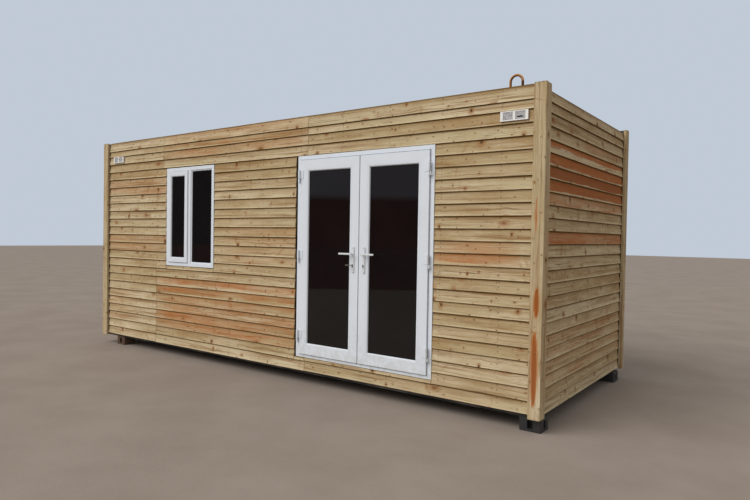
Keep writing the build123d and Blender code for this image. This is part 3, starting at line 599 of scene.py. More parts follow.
def clad_wall(wall, joints, cuts, seed):
    """Boards of one wall, with grain, tone, stain and height stored for the wood. Gives their heights."""
    dice = random.Random(seed)
    low_corner, high_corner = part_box(f"{wall}_cladding")
    across = wall in ("front", "back")
    reach = (high_corner.x if across else high_corner.y) - corner_gap
    top_board = front_top_board if across else end_top_board
    bottom, top = low_corner.z, high_corner.z
    full = int((top - bottom - top_board) // board_pitch)
    edges = [bottom + board_pitch * course for course in range(full + 1)] + [top - top_board, top]
    rows = {"position": [], "place": [], "extent": [], "slice": []}
    number = seed * 100.0
    for low, high in zip(edges, edges[1:]):
        number += 1.0
        splits = [
            stop + dice.uniform(-joint_jitter, joint_jitter)
            for z0, z1, stops in joints
            if z0 <= low < z1
            for stop in stops
        ]
        for board in board_pieces(low, high, [-reach, *splits, reach], cuts, dice):
            part_seen = 0
            for start, end, share_low, share_high, part in board:
                if part != part_seen:
                    number += 1.0
                    part_seen = part
                last = high == top
                gap = dice.uniform(0.0002, 0.0013)
                whole = share_low == 0.0 and not last
                raised = dice.uniform(-level_jitter, level_jitter) if whole else 0.0
                rows["position"].append((0, 0, 0))
                rows["place"].append((start + gap, low + raised, number))
                rows["extent"].append((end - start - 2 * gap, high - low, start + number * grain_shift))
                rows["slice"].append((share_low, 1.0 if last else share_high, 0.0))
            number += 1.0
    turn = wall_turns[wall]
    face = (math.sin(turn) * wall_reach[wall], -math.cos(turn) * wall_reach[wall], 0.0)
    sizes = board_section | {"Turn": turn, "Wall Face": face, "Wood": pine_boards}
    mesh = grown(f"{wall}_boards", rows, lapped, sizes)
    tones, soaked = {}, {}
    grain, levels, ends = (mesh.attributes[label].data for label in ("grain", "level", "ends"))
    marks = mesh.attributes.new("marks", "FLOAT_VECTOR", "POINT")
    turn_back = Matrix.Rotation(-turn, 3, "Z")
    for index, vertex in enumerate(mesh.vertices):
        board = round(grain[index].vector.z)
        if board not in tones:
            tones[board] = max(dice.random(), float(across and vertex.co.z > top - top_board - top_slack))
            soaked[board] = dice.uniform(0.85, 1.15)
        level = levels[index].vector.x
        stain, pale = stain_at(wall, (turn_back @ vertex.co).x, vertex.co.z + (0.5 - level) * board_pitch)
        marks.data[index].vector = (tones[board], stain * soaked[board], level)
        ends[index].vector.z = pale
    for label in ("unit", "place", "extent", "slice", "level"):
        mesh.attributes.remove(mesh.attributes[label])
    mesh_piece(f"{wall}_boards", mesh, "cabin", "cladding", [f"{wall}_cladding"], crease=25.0)
    return edges


pine_boards = pine("treated_pine_boards")
course_edges = {
    wall: clad_wall(wall, joints, cuts, seed)
    for wall, joints, cuts, seed in (
        ("front", front_joints, openings, 3),
        ("back", back_joints, [], 5),
        ("left_end", (), [], 7),
        ("right_end", (), [], 11),
    )
}

# Nails: galvanised round heads, punched just into each board at mid height and near its top, a pair at every
# stud. Some heads have bled a little rust.
heads, given, heads_out = node_group(
    "round_heads",
    "GeometryNodeTree",
    {"Geometry": "Geometry", "Radius": "Float", "Thickness": "Float", "Crown": "Float", "Metal": "Material"},
    {"Geometry": "Geometry"},
)
blank = made(heads, "GeometryNodeMeshCylinder", {"Vertices": 10, "Radius": 1.0, "Depth": 1.0})
x, y, z = made(heads, "GeometryNodeInputPosition").parts()
pulled_in = (z > 0.0) * -1.0 * given["Crown"] + 1.0
domed = join_xyz(x * pulled_in * given["Radius"], y * pulled_in * given["Radius"], z * given["Thickness"])
head = made(heads, "GeometryNodeSetPosition", {"Geometry": blank, "Position": domed})
facing = made(heads, "FunctionNodeAlignRotationToVector", {"Vector": stored(heads, "facing")}, axis="Z")
spread = {"Points": given["Geometry"], "Instance": head, "Rotation": facing}
spread = made(heads, "GeometryNodeInstanceOnPoints", spread)
spread = made(heads, "GeometryNodeRealizeInstances", {"Geometry": spread})
spread = made(heads, "GeometryNodeSetMaterial", {"Geometry": spread, "Material": given["Metal"]})
put(heads_out.inputs[0], spread)


def round_heads(name, places, body, slot, radius, thickness, metal, crown=0.25):
    """Fixing heads at places, each given with the direction that it faces."""
    rows = {"position": [place for place, _ in places], "facing": [direction for _, direction in places]}
    sizes = {"Radius": radius, "Thickness": thickness, "Crown": crown, "Metal": metal}
    mesh = grown(name, rows, heads, sizes)
    mesh.attributes.remove(mesh.attributes["facing"])
    mesh_piece(name, mesh, body, slot)


galvanised, place, dress = finish_of("galvanised_nail", 0.0003, Metallic=0.7)
rust = use_effect(galvanised, rust_group, {"Place": place, "Amount": 0.42})
dress(
    rust["Mask"].tint((0.2, 0.19, 0.175), rust["Rust"]),
    rust["Mask"].rise(0.0, 1.0, 0.5, 0.85),
    place.noise(400.0, 2.0),
)

nail_rows = (0.045, 0.082)
nail_end_gap, nail_spread, row_spread = 0.12, 0.003, 0.002
beside, below = 0.02, 0.04
butt_face, board_slope = 0.0285, 0.125
nail_dice = random.Random(21)
nails = []
for wall, edges in course_edges.items():
    turn = wall_turns[wall]
    out = Vector((math.sin(turn), -math.cos(turn), 0.0))
    run = Vector((math.cos(turn), math.sin(turn), 0.0))
    wall_half = half_length if wall in ("front", "back") else half_width
    columns = int((wall_half - nail_end_gap) / stud_spacing)
    for column in range(-columns, columns + 1):
        for low in edges[:-1]:
            spot = column * stud_spacing + nail_dice.uniform(-nail_spread, nail_spread)
            for row in nail_rows:
                rise = row + nail_dice.uniform(-row_spread, row_spread)
                cut_away = wall == "front" and any(
                    left - beside < spot < right + beside and bottom - below < low + rise < top + beside
                    for left, right, bottom, top in openings
                )
                if not cut_away:
                    depth = wall_reach[wall] - butt_face - board_slope * rise
                    nails.append((run * spot + out * depth + Vector((0, 0, low + rise)), out))
round_heads("cladding_nails", nails, "cabin", "cladding", 0.0033, 0.0024, galvanised)

# Corner boards: two planed planks of the same pine on each steel post, the face plank over the edge of the
# side plank. They are screwed on, a little rounded along their edges, and stained where a strap held them.
planed_pine = pine("planed_pine_planks", texture=0.0005)
plank_round, plank_bow, side_drop, plank_gap = 0.004, 0.0012, 0.004, 0.0004
plank_rows, end_pinch, plank_height = 60, 0.03, 0.55
face_width, side_width, plank_thickness = 0.1, 0.075, 0.03
# Stains down the front right planks: plank, heights in metres, place and half width across it, strength
plank_stains = (
    ("face", 1.55, 1.77, 0.38, 0.14, 0.75),
    ("face", 0.87, 1.13, 0.55, 0.24, 1.8),
    ("face", 0.2, 0.78, 0.45, 0.36, 1.5),
    ("side", 0.1, 2.7, 0.5, 0.8, 0.1),
)


def plank_stain(share, z, stained):
    """Stain at a share of the plank's width and a height, from patches that taper to both ends."""
    total = 0.0
    for low, high, middle, half, strength in stained:
        if low < z < high:
            taper = math.sin(math.pi * (z - low) / (high - low)) ** 0.5
            total = max(total, strength * max(0.0, 1.0 - (abs(share - middle) / (half * taper)) ** 2))
    return total


def close_rings(bm, rings, closed=False):
    """Faces between rings of points, with flat ends unless the last ring joins the first."""
    count = len(rings[0])
    for lower, upper in zip(rings, rings[1:] + rings[:1] * closed):
        for a in range(count):
            b = (a + 1) % count
            bm.faces.new((lower[a], lower[b], upper[b], upper[a]))
    if not closed:
        bm.faces.new(rings[0][::-1])
        bm.faces.new(rings[-1])


def plank(name, left, right, front, back, low, high, seed, stained, node):
    """One upright plank with rounded edges, its grain running up and a slight bow."""
    dice = random.Random(seed)
    tone, number = dice.uniform(0.6, 1.0), 400.0 + seed * 3.0
    wide = right - left > back - front
    flat_x, flat_y = right - left - 2 * plank_round, back - front - 2 * plank_round
    outline = []
    corners = ((right, back), (left, back), (left, front), (right, front))
    for corner, ((x, y), (way_x, way_y)) in enumerate(zip(corners, ((-1, 0), (0, -1), (1, 0), (0, 1)))):
        round_x = x + (plank_round if x == left else -plank_round)
        round_y = y + (plank_round if y == front else -plank_round)
        for turn in (math.radians(90 * corner + 30 * step) for step in range(4)):
            outline.append((round_x + plank_round * math.cos(turn), round_y + plank_round * math.sin(turn)))
        if wide == (corner in (0, 2)):
            x0, y0 = outline[-1]
            for share in (step / 8 for step in range(1, 8)):
                outline.append((x0 + way_x * flat_x * share, y0 + way_y * flat_y * share))
    bm = bmesh.new()
    grain, marks, ends = (bm.verts.layers.float_vector.new(label) for label in ("grain", "marks", "ends"))
    rings = []
    middle = Vector(((left + right) / 2, (front + back) / 2))
    for row in range(plank_rows + 1):
        z = low + (high - low) * row / plank_rows
        pinch = 1.0 - (end_pinch if row in (0, plank_rows) else 0.0)
        bow = abs(terrain.noise(Vector((z * 0.8, number, 0.0)))) * plank_bow
        ring = []
        for x, y in outline:
            inset_x = middle.x + (x - middle.x) * pinch - math.copysign(bow, x)
            vertex = bm.verts.new((inset_x, middle.y + (y - middle.y) * pinch - math.copysign(bow, y), z))
            share = (x - left) / (right - left) if wide else (y - front) / (back - front)
            vertex[grain] = (z, x + y, number)
            vertex[marks] = (tone, plank_stain(share, z, stained), plank_height)
            vertex[ends] = (z - low, high - z, 0.0)
            ring.append(vertex)
        rings.append(ring)
    close_rings(bm, rings)
    solid_piece(bm, name, planed_pine, "cabin", "corner_board", [node], crease=40.0)


seed = 0
for side, towards_side in (("front", -1), ("back", 1)):
    for end, towards_end in (("left", -1), ("right", 1)):
        node = f"corner_boards_{side}_{end}"
        low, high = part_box(node)
        outer_x, outer_y = towards_end * half_length, towards_side * half_width
        for part, run_x, start_y, run_y, drop in (
            ("face", face_width, 0.0, plank_thickness, 0.0),
            ("side", plank_thickness, plank_thickness + plank_gap, side_width - plank_gap, side_drop),
        ):
            seed += 1
            xs = sorted((outer_x, outer_x - towards_end * run_x))
            ys = sorted((outer_y - towards_side * start_y, outer_y - towards_side * (start_y + run_y)))
            seen = (side, end) == ("front", "right")
            stained = [patch[1:] for patch in plank_stains if seen and patch[0] == part]
            plank(f"{part}_plank_{side}_{end}", *xs, *ys, low.z, high.z - drop, seed, stained, node)

first_screw, screw_spacing, screw_sunk = 0.26, 0.555, 0.0012
from_end, from_side, side_lift = 0.055, 0.07, 0.03
screws = []
for to_side in (-1, 1):
    for to_end in (-1, 1):
        for z in (first_screw + screw_spacing * step for step in range(5)):
            on_face = (to_end * (half_length - from_end), to_side * (half_width - screw_sunk), z)
            on_side = (to_end * (half_length - screw_sunk), to_side * (half_width - from_side), z + side_lift)
            screws += [(on_face, (0, to_side, 0)), (on_side, (to_end, 0, 0))]
round_heads("corner_board_screws", screws, "cabin", "corner_board", 0.0045, 0.002, galvanised, crown=0.1)

# Roof: a rubber sheet glued to the deck and turned up against the walls, with taped laps across the cabin.
# Rain leaves dust and tide marks on it.
rubber, place, dress = finish_of("roof_rubber", 0.001)
lap_width, lap_spacing, first_lap = 0.075, 1.43, 0.7
roof_low, roof_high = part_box("roof_sheet")
lap_phase = ((place.parts()[0] - roof_low.x) / lap_spacing - first_lap).fraction()
lap_edge = abs(lap_phase * lap_spacing - lap_width).rise(0.002, 0.014, 0.75, 0.0)
dust = place.noise(1.3, 6.0, 0.6).rise(0.42, 0.66, 0.0, 0.6).most(lap_edge)
dress(
    dust.tint((0.03, 0.031, 0.034), (0.16, 0.145, 0.12)),
    dust.rise(0.0, 1.0, 0.5, 0.9),
    place.noise(6.0, 3.0) * 2.0 + place.noise(300.0, 2.0) * 0.1,
)


def rounded_block(bm, low, high, edge):
    """Box with rounded edges, added to a mesh."""
    corners = bmesh.ops.create_cube(bm, size=1.0)["verts"]
    for vertex in corners:
        vertex.co = [low[axis] + (vertex.co[axis] + 0.5) * (high[axis] - low[axis]) for axis in range(3)]
    edges = {each for vertex in corners for each in vertex.link_edges}
    bmesh.ops.bevel(bm, geom=list(edges), offset=edge, segments=2, profile=0.5, affect="EDGES")


def block_piece(name, blocks, edge, *says):
    """Piece of blocks with rounded edges, each given by its low and high corner."""
    bm = bmesh.new()
    for low, high in blocks:
        rounded_block(bm, low, high, edge)
    solid_piece(bm, name, *says)


sheet_thickness, lap_thickness, lap_sunk, lap_inset = 0.004, 0.0015, 0.002, 0.02
bm = bmesh.new()
rounded_block(bm, roof_low, (roof_high.x, roof_high.y, roof_low.z + sheet_thickness), 0.0015)
# Upstand, from its foot up the wall and down its inner face: distance in from the wall, height
upstand = (
    (0.0, 0.003),
    (0.0, 0.045),
    (0.002, 0.0452),
    (0.0055, 0.043),
    (0.006, 0.02),
    (0.014, 0.006),
    (0.03, 0.0035),
)
rings = []
for inset, rise in upstand:
    west, east = roof_low.x + inset, roof_high.x - inset
    south, north = roof_low.y + inset, roof_high.y - inset
    z = roof_low.z + min(rise, roof_high.z - roof_low.z)
    corners = ((west, south), (east, south), (east, north), (west, north))
    rings.append([bm.verts.new((*corner, z)) for corner in corners])
close_rings(bm, rings, closed=True)
for lap in range(int((roof_high.x - roof_low.x) / lap_spacing)):
    lap_x = roof_low.x + lap_spacing * (lap + first_lap)
    lap_low = (lap_x, roof_low.y + lap_inset, roof_low.z + lap_sunk)
    lap_high = (lap_x + lap_width, roof_high.y - lap_inset, roof_low.z + sheet_thickness + lap_thickness)
    rounded_block(bm, lap_low, lap_high, 0.0007)
solid_piece(bm, "roof_membrane", rubber, "cabin", "roof_sheet", ["roof_sheet"])

# Lifting eyes: hoops bent from round bar, welded to plates that are bolted through the roof at the right end.
# Bare steel, so they have rusted bright orange, and the welding burnt the feet of the bar black.
eye_steel, place, dress = finish_of("rusted_bar", 0.0009)
eye_low, eye_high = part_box("lifting_eyes")
eye_x = (eye_low.x + eye_high.x) / 2
eye_bar, solid_bar, eye_radius, eye_plate = 0.0104, 0.0105, 0.0515, 0.01
arch_z = eye_high.z - solid_bar - eye_radius
burn_height, burn_step = 0.112, 0.05
side, height = place.parts()[0] - eye_x, place.parts()[2]
above_arch = (height - arch_z).most(0.0)
outside_bend = ((side * side + above_arch * above_arch).root() - eye_radius).rise(-0.007, 0.008)
burnt_to = (side > 0.0) * burn_step + (eye_high.z - burn_height)
scorched = (height + place.noise(30.0, 2.0) * 0.014 - burnt_to).rise(0.0, 0.014, 1.0, 0.0)
# The bar is coloured dark on the faces inside the hoop and bright orange on its outer faces
flash_rust = outside_bend.tint((0.13, 0.048, 0.014), (0.78, 0.42, 0.17))
orange_rust = place.noise(45.0, 5.0, 0.7).rise(0.35, 0.7, 0.0, 0.6).tint(flash_rust, (0.36, 0.14, 0.04))
bar_colour = (scorched * 0.96).tint(orange_rust, (0.016, 0.013, 0.012))
rust = use_effect(eye_steel, rust_group, {"Place": place, "Amount": 0.8})
dress(
    (rust["Mask"] * 0.3).tint(bar_colour, rust["Rust"]),
    rust["Pits"].rise(0.0, 1.0, 0.7, 0.95),
    rust["Pits"] + place.noise(500.0, 3.0) * 0.3,
)


def round_turns(count):
    return [2 * math.pi * step / count for step in range(count)]


def tube_along(bm, path, radius, sides, closed=False):
    """Round bar along a path of points, with flat ends unless it closes on itself."""
    rings = []
    across = None
    for index, point in enumerate(path):
        before = path[index - 1] if index or closed else point
        after = path[(index + 1) % len(path)] if index < len(path) - 1 or closed else point
        ahead = (after - before).normalized()
        if across is None:
            across = ahead.orthogonal()
        across = (across - ahead * across.dot(ahead)).normalized()
        up = ahead.cross(across)
        ways = [across * math.cos(turn) + up * math.sin(turn) for turn in round_turns(sides)]
        rings.append([bm.verts.new(point + way * radius) for way in ways])
    close_rings(bm, rings, closed)


plate_length, plate_width, bolt_reach, bolt_lift = 0.18, 0.066, 0.076, 0.003
from_wall, bar_sunk, arch_steps = 0.042, 0.002, 16
weld_radius, weld_ripple, ripples = 0.0032, 0.0008, 9
bm = bmesh.new()
bolts = []
for towards_side in (-1, 1):
    eye_y = towards_side * (half_width - wall_depth - from_wall)
    plate_top = eye_low.z + eye_plate
    hoop = [Vector((eye_x - eye_radius, eye_y, z)) for z in (plate_top - bar_sunk, arch_z)]
    for turn in (math.pi * step / arch_steps for step in range(1, arch_steps)):
        rise, reach = eye_radius * math.sin(turn), eye_radius * math.cos(turn)
        hoop.append(Vector((eye_x - reach, eye_y, arch_z + rise)))
    hoop += [Vector((eye_x + eye_radius, eye_y, z)) for z in (arch_z, plate_top - bar_sunk)]
    tube_along(bm, hoop, eye_bar, 18)
    plate_low = (eye_x - plate_length / 2, eye_y - plate_width / 2, eye_low.z)
    rounded_block(bm, plate_low, (eye_x + plate_length / 2, eye_y + plate_width / 2, plate_top), 0.003)
    for towards_end in (-1, 1):
        foot = Vector((eye_x + towards_end * eye_radius, eye_y, plate_top))
        for bead, (spread, lift) in enumerate(((0.004, 0.001), (0.0015, 0.0042))):
            ring = []
            for turn in round_turns(28):
                reach = eye_bar + spread + weld_ripple * math.sin(turn * ripples + bead)
                ring.append(foot + Vector((math.cos(turn) * reach, math.sin(turn) * reach, lift)))
            tube_along(bm, ring, weld_radius, 7, closed=True)
        bolts.append(((eye_x + towards_end * bolt_reach, eye_y, plate_top + bolt_lift), (0, 0, 1)))
solid_piece(bm, "lifting_hoops", eye_steel, "cabin", "lifting_eye", ["lifting_eyes"])
round_heads("hoop_bolts", bolts, "cabin", "lifting_eye", 0.0085, 0.007, eye_steel, crown=0.12)

# Door frame: white plastic profiles, mitred and welded at the corners, screwed in before the boards were cut
# round it. A stop with a rubber seal runs round inside, and rain has splashed dirt on the lower part.
white_plastic, place, dress = finish_of("white_plastic", 0.0003)
mitre = made(white_plastic.node_tree, "ShaderNodeAttribute", output="Vector", attribute_name="mitre")
from_start, from_end, from_edge = mitre.parts()
weld_line = from_start.least(from_end).rise(0.0007, 0.0016, 1.0, 0.0) * (from_edge > 0.00002)
run_down = place.noise(1.0, 5.0, 0.65, stretch=(38.0, 38.0, 2.2))
splash = place.parts()[2].rise(0.25, 0.75, 0.24, 0.0) * place.noise(14.0, 5.0, 0.7).rise(0.38, 0.62)
film = place.noise(5.0, 5.0, 0.6).rise(0.45, 0.8, 0.0, 0.09) + run_down.rise(0.55, 0.8, 0.0, 0.08)
dirt = (film + splash + weld_line * 0.3).clamped()
dress(
    dirt.tint((0.785, 0.85, 0.935), (0.44, 0.39, 0.32)),
    dirt.rise(0.0, 0.6, 0.3, 0.7),
    place.noise(220.0, 2.0) * 0.12 - weld_line,
)


def worn_finish(name, bump, wear, clean, dirty, gloss, grit, **sockets):
    """Finish that turns from clean to dirty, and its roughness with it, where wear reads high."""
    material, place, dress = finish_of(name, bump, **sockets)
    worn = place.noise(*wear[:3]).rise(*wear[3:])
    dress(worn.tint(clean, dirty), worn.rise(0.0, 1.0, *gloss), place.noise(grit, 2.0))
    return material


seal_rubber = worn_finish(
    "seal_rubber",
    0.0002,
    (25.0, 4.0, 0.6, 0.45, 0.75, 0.0, 0.6),
    (0.012, 0.012, 0.013),
    (0.07, 0.065, 0.058),
    (0.5, 0.85),
    350.0,
)


def mitred_ring(bm, outer, profile, low_share=1.0, slant=None):
    """Four mitred lengths round a rectangle, with a profile of (distance in from the edge, depth) pairs."""
    left, right, bottom, top = outer
    weld = bm.loops.layers.float_vector.get("mitre") or bm.loops.layers.float_vector.new("mitre")
    rows = []
    for inset, depth in profile:
        edges = [left + inset, right - inset]
        if slant:
            side, start, slope = slant
            edges[side] += (1 - 2 * side) * max(0.0, depth - start) * slope * (inset < 0.01)
        low, high = bottom + inset * low_share, top - inset
        corners = ((edges[0], low), (edges[1], low), (edges[1], high), (edges[0], high))
        rows.append(([bm.verts.new((x, depth - half_width, z)) for x, z in corners], inset))
    for (a, inset_a), (b, inset_b) in zip(rows, rows[1:] + rows[:1]):
        for corner in range(4):
            after = (corner + 1) % 4
            face = bm.faces.new((a[corner], a[after], b[after], b[corner]))
            run_a, run_b = ((row[after].co - row[corner].co).length for row in (a, b))
            values = ((0.0, run_a, inset_a), (run_a, 0.0, inset_a))
            values += ((run_b, 0.0, inset_b), (0.0, run_b, inset_b))
            for loop, value in zip(face.loops, values):
                loop[weld] = value


def rim(start, end, front, back, edge=0.002):
    """Profile of a member with rounded front corners, from its outer edge round to its back."""
    return [
        (start, back),
        (start, front + edge),
        (start + edge * 0.3, front + edge * 0.3),
        (start + edge, front),
        (end - edge, front),
        (end - edge * 0.3, front + edge * 0.3),
        (end, front + edge),
        (end, back),
    ]


def ring_piece(name, rings, material, body="cabin", slot="white_plastic", replaced=()):
    bm = bmesh.new()
    for ring in rings:
        mitred_ring(bm, *ring)
    solid_piece(bm, name, material, body, slot, replaced, crease=28.0)


frame_front, frame_back, frame_face, sill_height = 0.03, 0.1, 0.038, 0.028
frame_profile = rim(0.0, frame_face, frame_front, frame_back)
frame_profile[4:4] = [(0.0265, frame_front), (0.0275, frame_front + 0.0012), (0.0285, frame_front)]
door_ring = (outline("door_frame"), frame_profile, sill_height / frame_face)
ring_piece("door_frame_profiles", [door_ring], white_plastic, replaced=["door_frame"])
stop_width, stop_front, seal_inset = 0.016, 0.085, 0.006
stop_ring = (outline("door_stop"), rim(0.0, stop_width, stop_front, frame_back, 0.001))
ring_piece("door_stop_profiles", [stop_ring], white_plastic, replaced=["door_stop"])
seal_profile = [(0.0, 0.0852), (0.0, 0.083), (0.002, 0.0812), (0.005, 0.083), (0.006, 0.0852)]
left, right, bottom, top = outline("door_stop")
seal_outline = (left + seal_inset, right - seal_inset, bottom + seal_inset, top - seal_inset)
ring_piece("door_stop_seal", [(seal_outline, seal_profile)], seal_rubber)

# Door leaves: mitred plastic stiles and rails with steel cores, and a bead clipped in round each glazed unit.
# The meeting edges are bevelled so that the leaves pass each other, and a soft fin closes the gap.
leaf_front, leaf_back = 0.015, 0.08
glass_front, glass_back = leaf_front + 0.017, leaf_front + 0.0413
bead_start, sight_edge, pane_edge = 0.088, 0.114, 0.0997
leaf_profile = [
    (0.0, leaf_back),
    (0.0, leaf_front + 0.003),
    (0.0009, leaf_front + 0.0009),
    (0.003, leaf_front),
    (bead_start - 0.001, leaf_front),
    (bead_start, leaf_front + 0.0014),
    (bead_start + 0.001, leaf_front),
    (0.1, leaf_front + 0.0006),
    (0.1055, leaf_front + 0.003),
    (0.1095, leaf_front + 0.008),
    (0.1118, leaf_front + 0.0145),
    (0.112, glass_front),
    (pane_edge, glass_front),
    (pane_edge, glass_back),
    (sight_edge, glass_back),
    (sight_edge, leaf_back - 0.002),
    (sight_edge - 0.002, leaf_back),
]
gasket_profile = [(0.1114, 0.0145), (0.1114, 0.017), (0.1142, 0.017), (0.1138, 0.0152), (0.1126, 0.0142)]
# The clear panes take a near-black tint, painted shade standing in for the unlit room behind them. Low down
# they turn paler, a painted reflection of the ground, and noise adds a real dust film.
shade_tinted_glass, place, dress = finish_of("shade_tinted_glass", 0.0002, Transmission_Weight=0.85, IOR=1.45, Metallic=0.0)
glass_film = place.noise(3.0, 5.0, 0.6).rise(0.4, 0.8)
film_and_ground_reflection = (glass_film * 0.5 + place.parts()[2].rise(0.4, 1.4, 0.35, 0.0)).clamped()
dress(
    film_and_ground_reflection.tint((0.038, 0.029, 0.03), (0.07, 0.06, 0.052)),
    glass_film.rise(0.0, 1.0, 0.0, 0.03),
    place.noise(1.4, 1.0),
)
spacer_metal, place, dress = finish_of("spacer_metal", 0.0001, Metallic=0.8)
dress(
    place.noise(60.0, 3.0).rise(0.3, 0.7).tint((0.14, 0.14, 0.145), (0.24, 0.24, 0.245)),
    place.noise(90.0, 2.0).rise(0.3, 0.7, 0.35, 0.5),
    place.noise(700.0, 2.0),
)


def shifted(profile, inwards, back):
    return [(inset + inwards, depth + back) for inset, depth in profile]


def double_glazing(node, body):
    """Two panes with ground edges and a metal spacer bar between them."""
    low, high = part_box(node)
    pane_thickness, pane_ease, seam = 0.004, 0.0002, 0.0004
    fronts = (low.y + pane_ease, high.y - pane_thickness)
    panes = [((low.x, y, low.z), (high.x, y + pane_thickness, high.z)) for y in fronts]
    block_piece(f"{node}_panes", panes, 0.0006, shade_tinted_glass, body, "glass", [node])
    front, back = low.y + half_width + pane_thickness + seam, high.y + half_width - pane_thickness - seam
    bar = [(0.004, front), (0.004, back), (0.0146, back), (0.0152, back - 0.002), (0.0152, front + 0.002)]
    ring_piece(f"{node}_spacer", [(outline(node), [*bar, (0.0146, front)])], spacer_metal, body, "glass")


leaf_lean = 4.5 / 65.0
for side, meeting_side in (("left", 1), ("right", 0)):
    door, body = f"{side}_door", f"{side}_leaf"
    leaf_ring = (outline(door), leaf_profile, 1.0, (meeting_side, leaf_front, leaf_lean))
    ring_piece(f"{door}_profiles", [leaf_ring], white_plastic, body, replaced=[door])
    gasket_ring = (outline(door), shifted(gasket_profile, 0.0, leaf_front))
    ring_piece(f"{door}_gasket", [gasket_ring], seal_rubber, body)
    double_glazing(f"{door}_glass", body)
fin_sunk, fin_proud, fin_short, fin_front, fin_back = 0.0008, 0.0016, 0.004, 0.024, 0.03
_, fin_right, fin_bottom, fin_top = outline("left_door")
fin_low = (fin_right - fin_sunk, fin_front - half_width, fin_bottom + fin_short)
fin_high = (fin_right + fin_proud, fin_back - half_width, fin_top - fin_short)
block_piece("meeting_fin", [(fin_low, fin_high)], 0.0007, seal_rubber, "left_leaf", "white_plastic")

# Hinges: three white flag hinges a side, the frame half with its pin below and the leaf half sitting on it.
# Each flag is held by screws, and a plastic sleeve covers the upper knuckle.
door_foot = 0.266
hinge_heights = [door_foot + centre for centre in (0.212, 1.006, 1.798)]
pin_inset, screw_inset, screw_front, sleeve_front = 0.009, 0.031, 0.0108, 0.004
sleeve_radius, sleeve_ends, screw_lifts = 0.0132, (-0.0235, 0.0595), (-0.004, 0.046)
for side, towards_hinge in (("left", -1), ("right", 1)):
    leaf = f"{side}_leaf"
    for node, body in ((f"{side}_frame_hinges", "cabin"), (f"{side}_door_hinges", leaf)):
        softened(node, f"{node}_castings", white_plastic, 0.0012, body, "white_plastic", 2, 50.0)
    low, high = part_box(f"{side}_door_hinges")
    axis_x = low.x + pin_inset if towards_hinge < 0 else high.x - pin_inset
    screw_x, screw_y = axis_x - towards_hinge * screw_inset, screw_front - half_width
    screw_heights = [centre + lift for centre in hinge_heights for lift in screw_lifts]
    flag_screws = [((screw_x, screw_y, z), (0, -1, 0)) for z in screw_heights]
    bm = bmesh.new()
    for centre in hinge_heights:
        sleeve = [Vector((axis_x, sleeve_front - half_width, centre + lift)) for lift in sleeve_ends]
        tube_along(bm, sleeve, sleeve_radius, 20)
    solid_piece(bm, f"{side}_hinge_sleeves", white_plastic, leaf, "white_plastic")
    screws = f"{side}_hinge_screws"
    round_heads(screws, flag_screws, leaf, "white_plastic", 0.0038, 0.0012, white_plastic, 0.2)

# Handles: a white lever on a long plate each side of both leaves, on one spindle, with a lock cylinder below.
# They are powder-coated castings. The plates are screwed through, and the key was left in the left lock.
powder_coat = worn_finish(
    "white_powder_coat",
    0.0002,
    (18.0, 5.0, 0.65, 0.5, 0.8, 0.0, 0.2),
    (0.76, 0.8, 0.845),
    (0.5, 0.46, 0.4),
    (0.26, 0.55),
    900.0,
)
lock_metal = worn_finish(
    "lock_metal",
    0.0002,
    (160.0, 4.0, 0.55, 0.35, 0.7),
    (0.3, 0.285, 0.26),
    (0.16, 0.14, 0.12),
    (0.28, 0.5),
    1500.0,
    Metallic=0.35,
)
cylinder_metal = worn_finish(
    "lock_cylinder_metal",
    0.0002,
    (220.0, 4.0, 0.55, 0.35, 0.7),
    (0.09, 0.09, 0.095),
    (0.045, 0.043, 0.042),
    (0.3, 0.5),
    1500.0,
    Metallic=0.5,
)
plate_front = leaf_front - 0.01 - half_width
spindle_z, lock_drop, plate_screw_rises, screw_lift = 1.313, 0.104, (0.052, -0.15), 0.0004
lock_z = spindle_z - lock_drop
# Profile of a lock cylinder: a barrel with a web below it, about the barrel's centre
barrel_radius, open_below, barrel_steps = 0.0083, 54, 24
barrel = []
for step in range(barrel_steps + 1):
    turn = math.radians(-open_below + (180 + 2 * open_below) * step / barrel_steps)
    barrel.append((barrel_radius * math.cos(turn), barrel_radius * math.sin(turn)))
barrel += [(-0.0048, -0.021), (-0.003, -0.0248), (0.003, -0.0248), (0.0048, -0.021)]
cylinder_face = plate_front - 0.0022
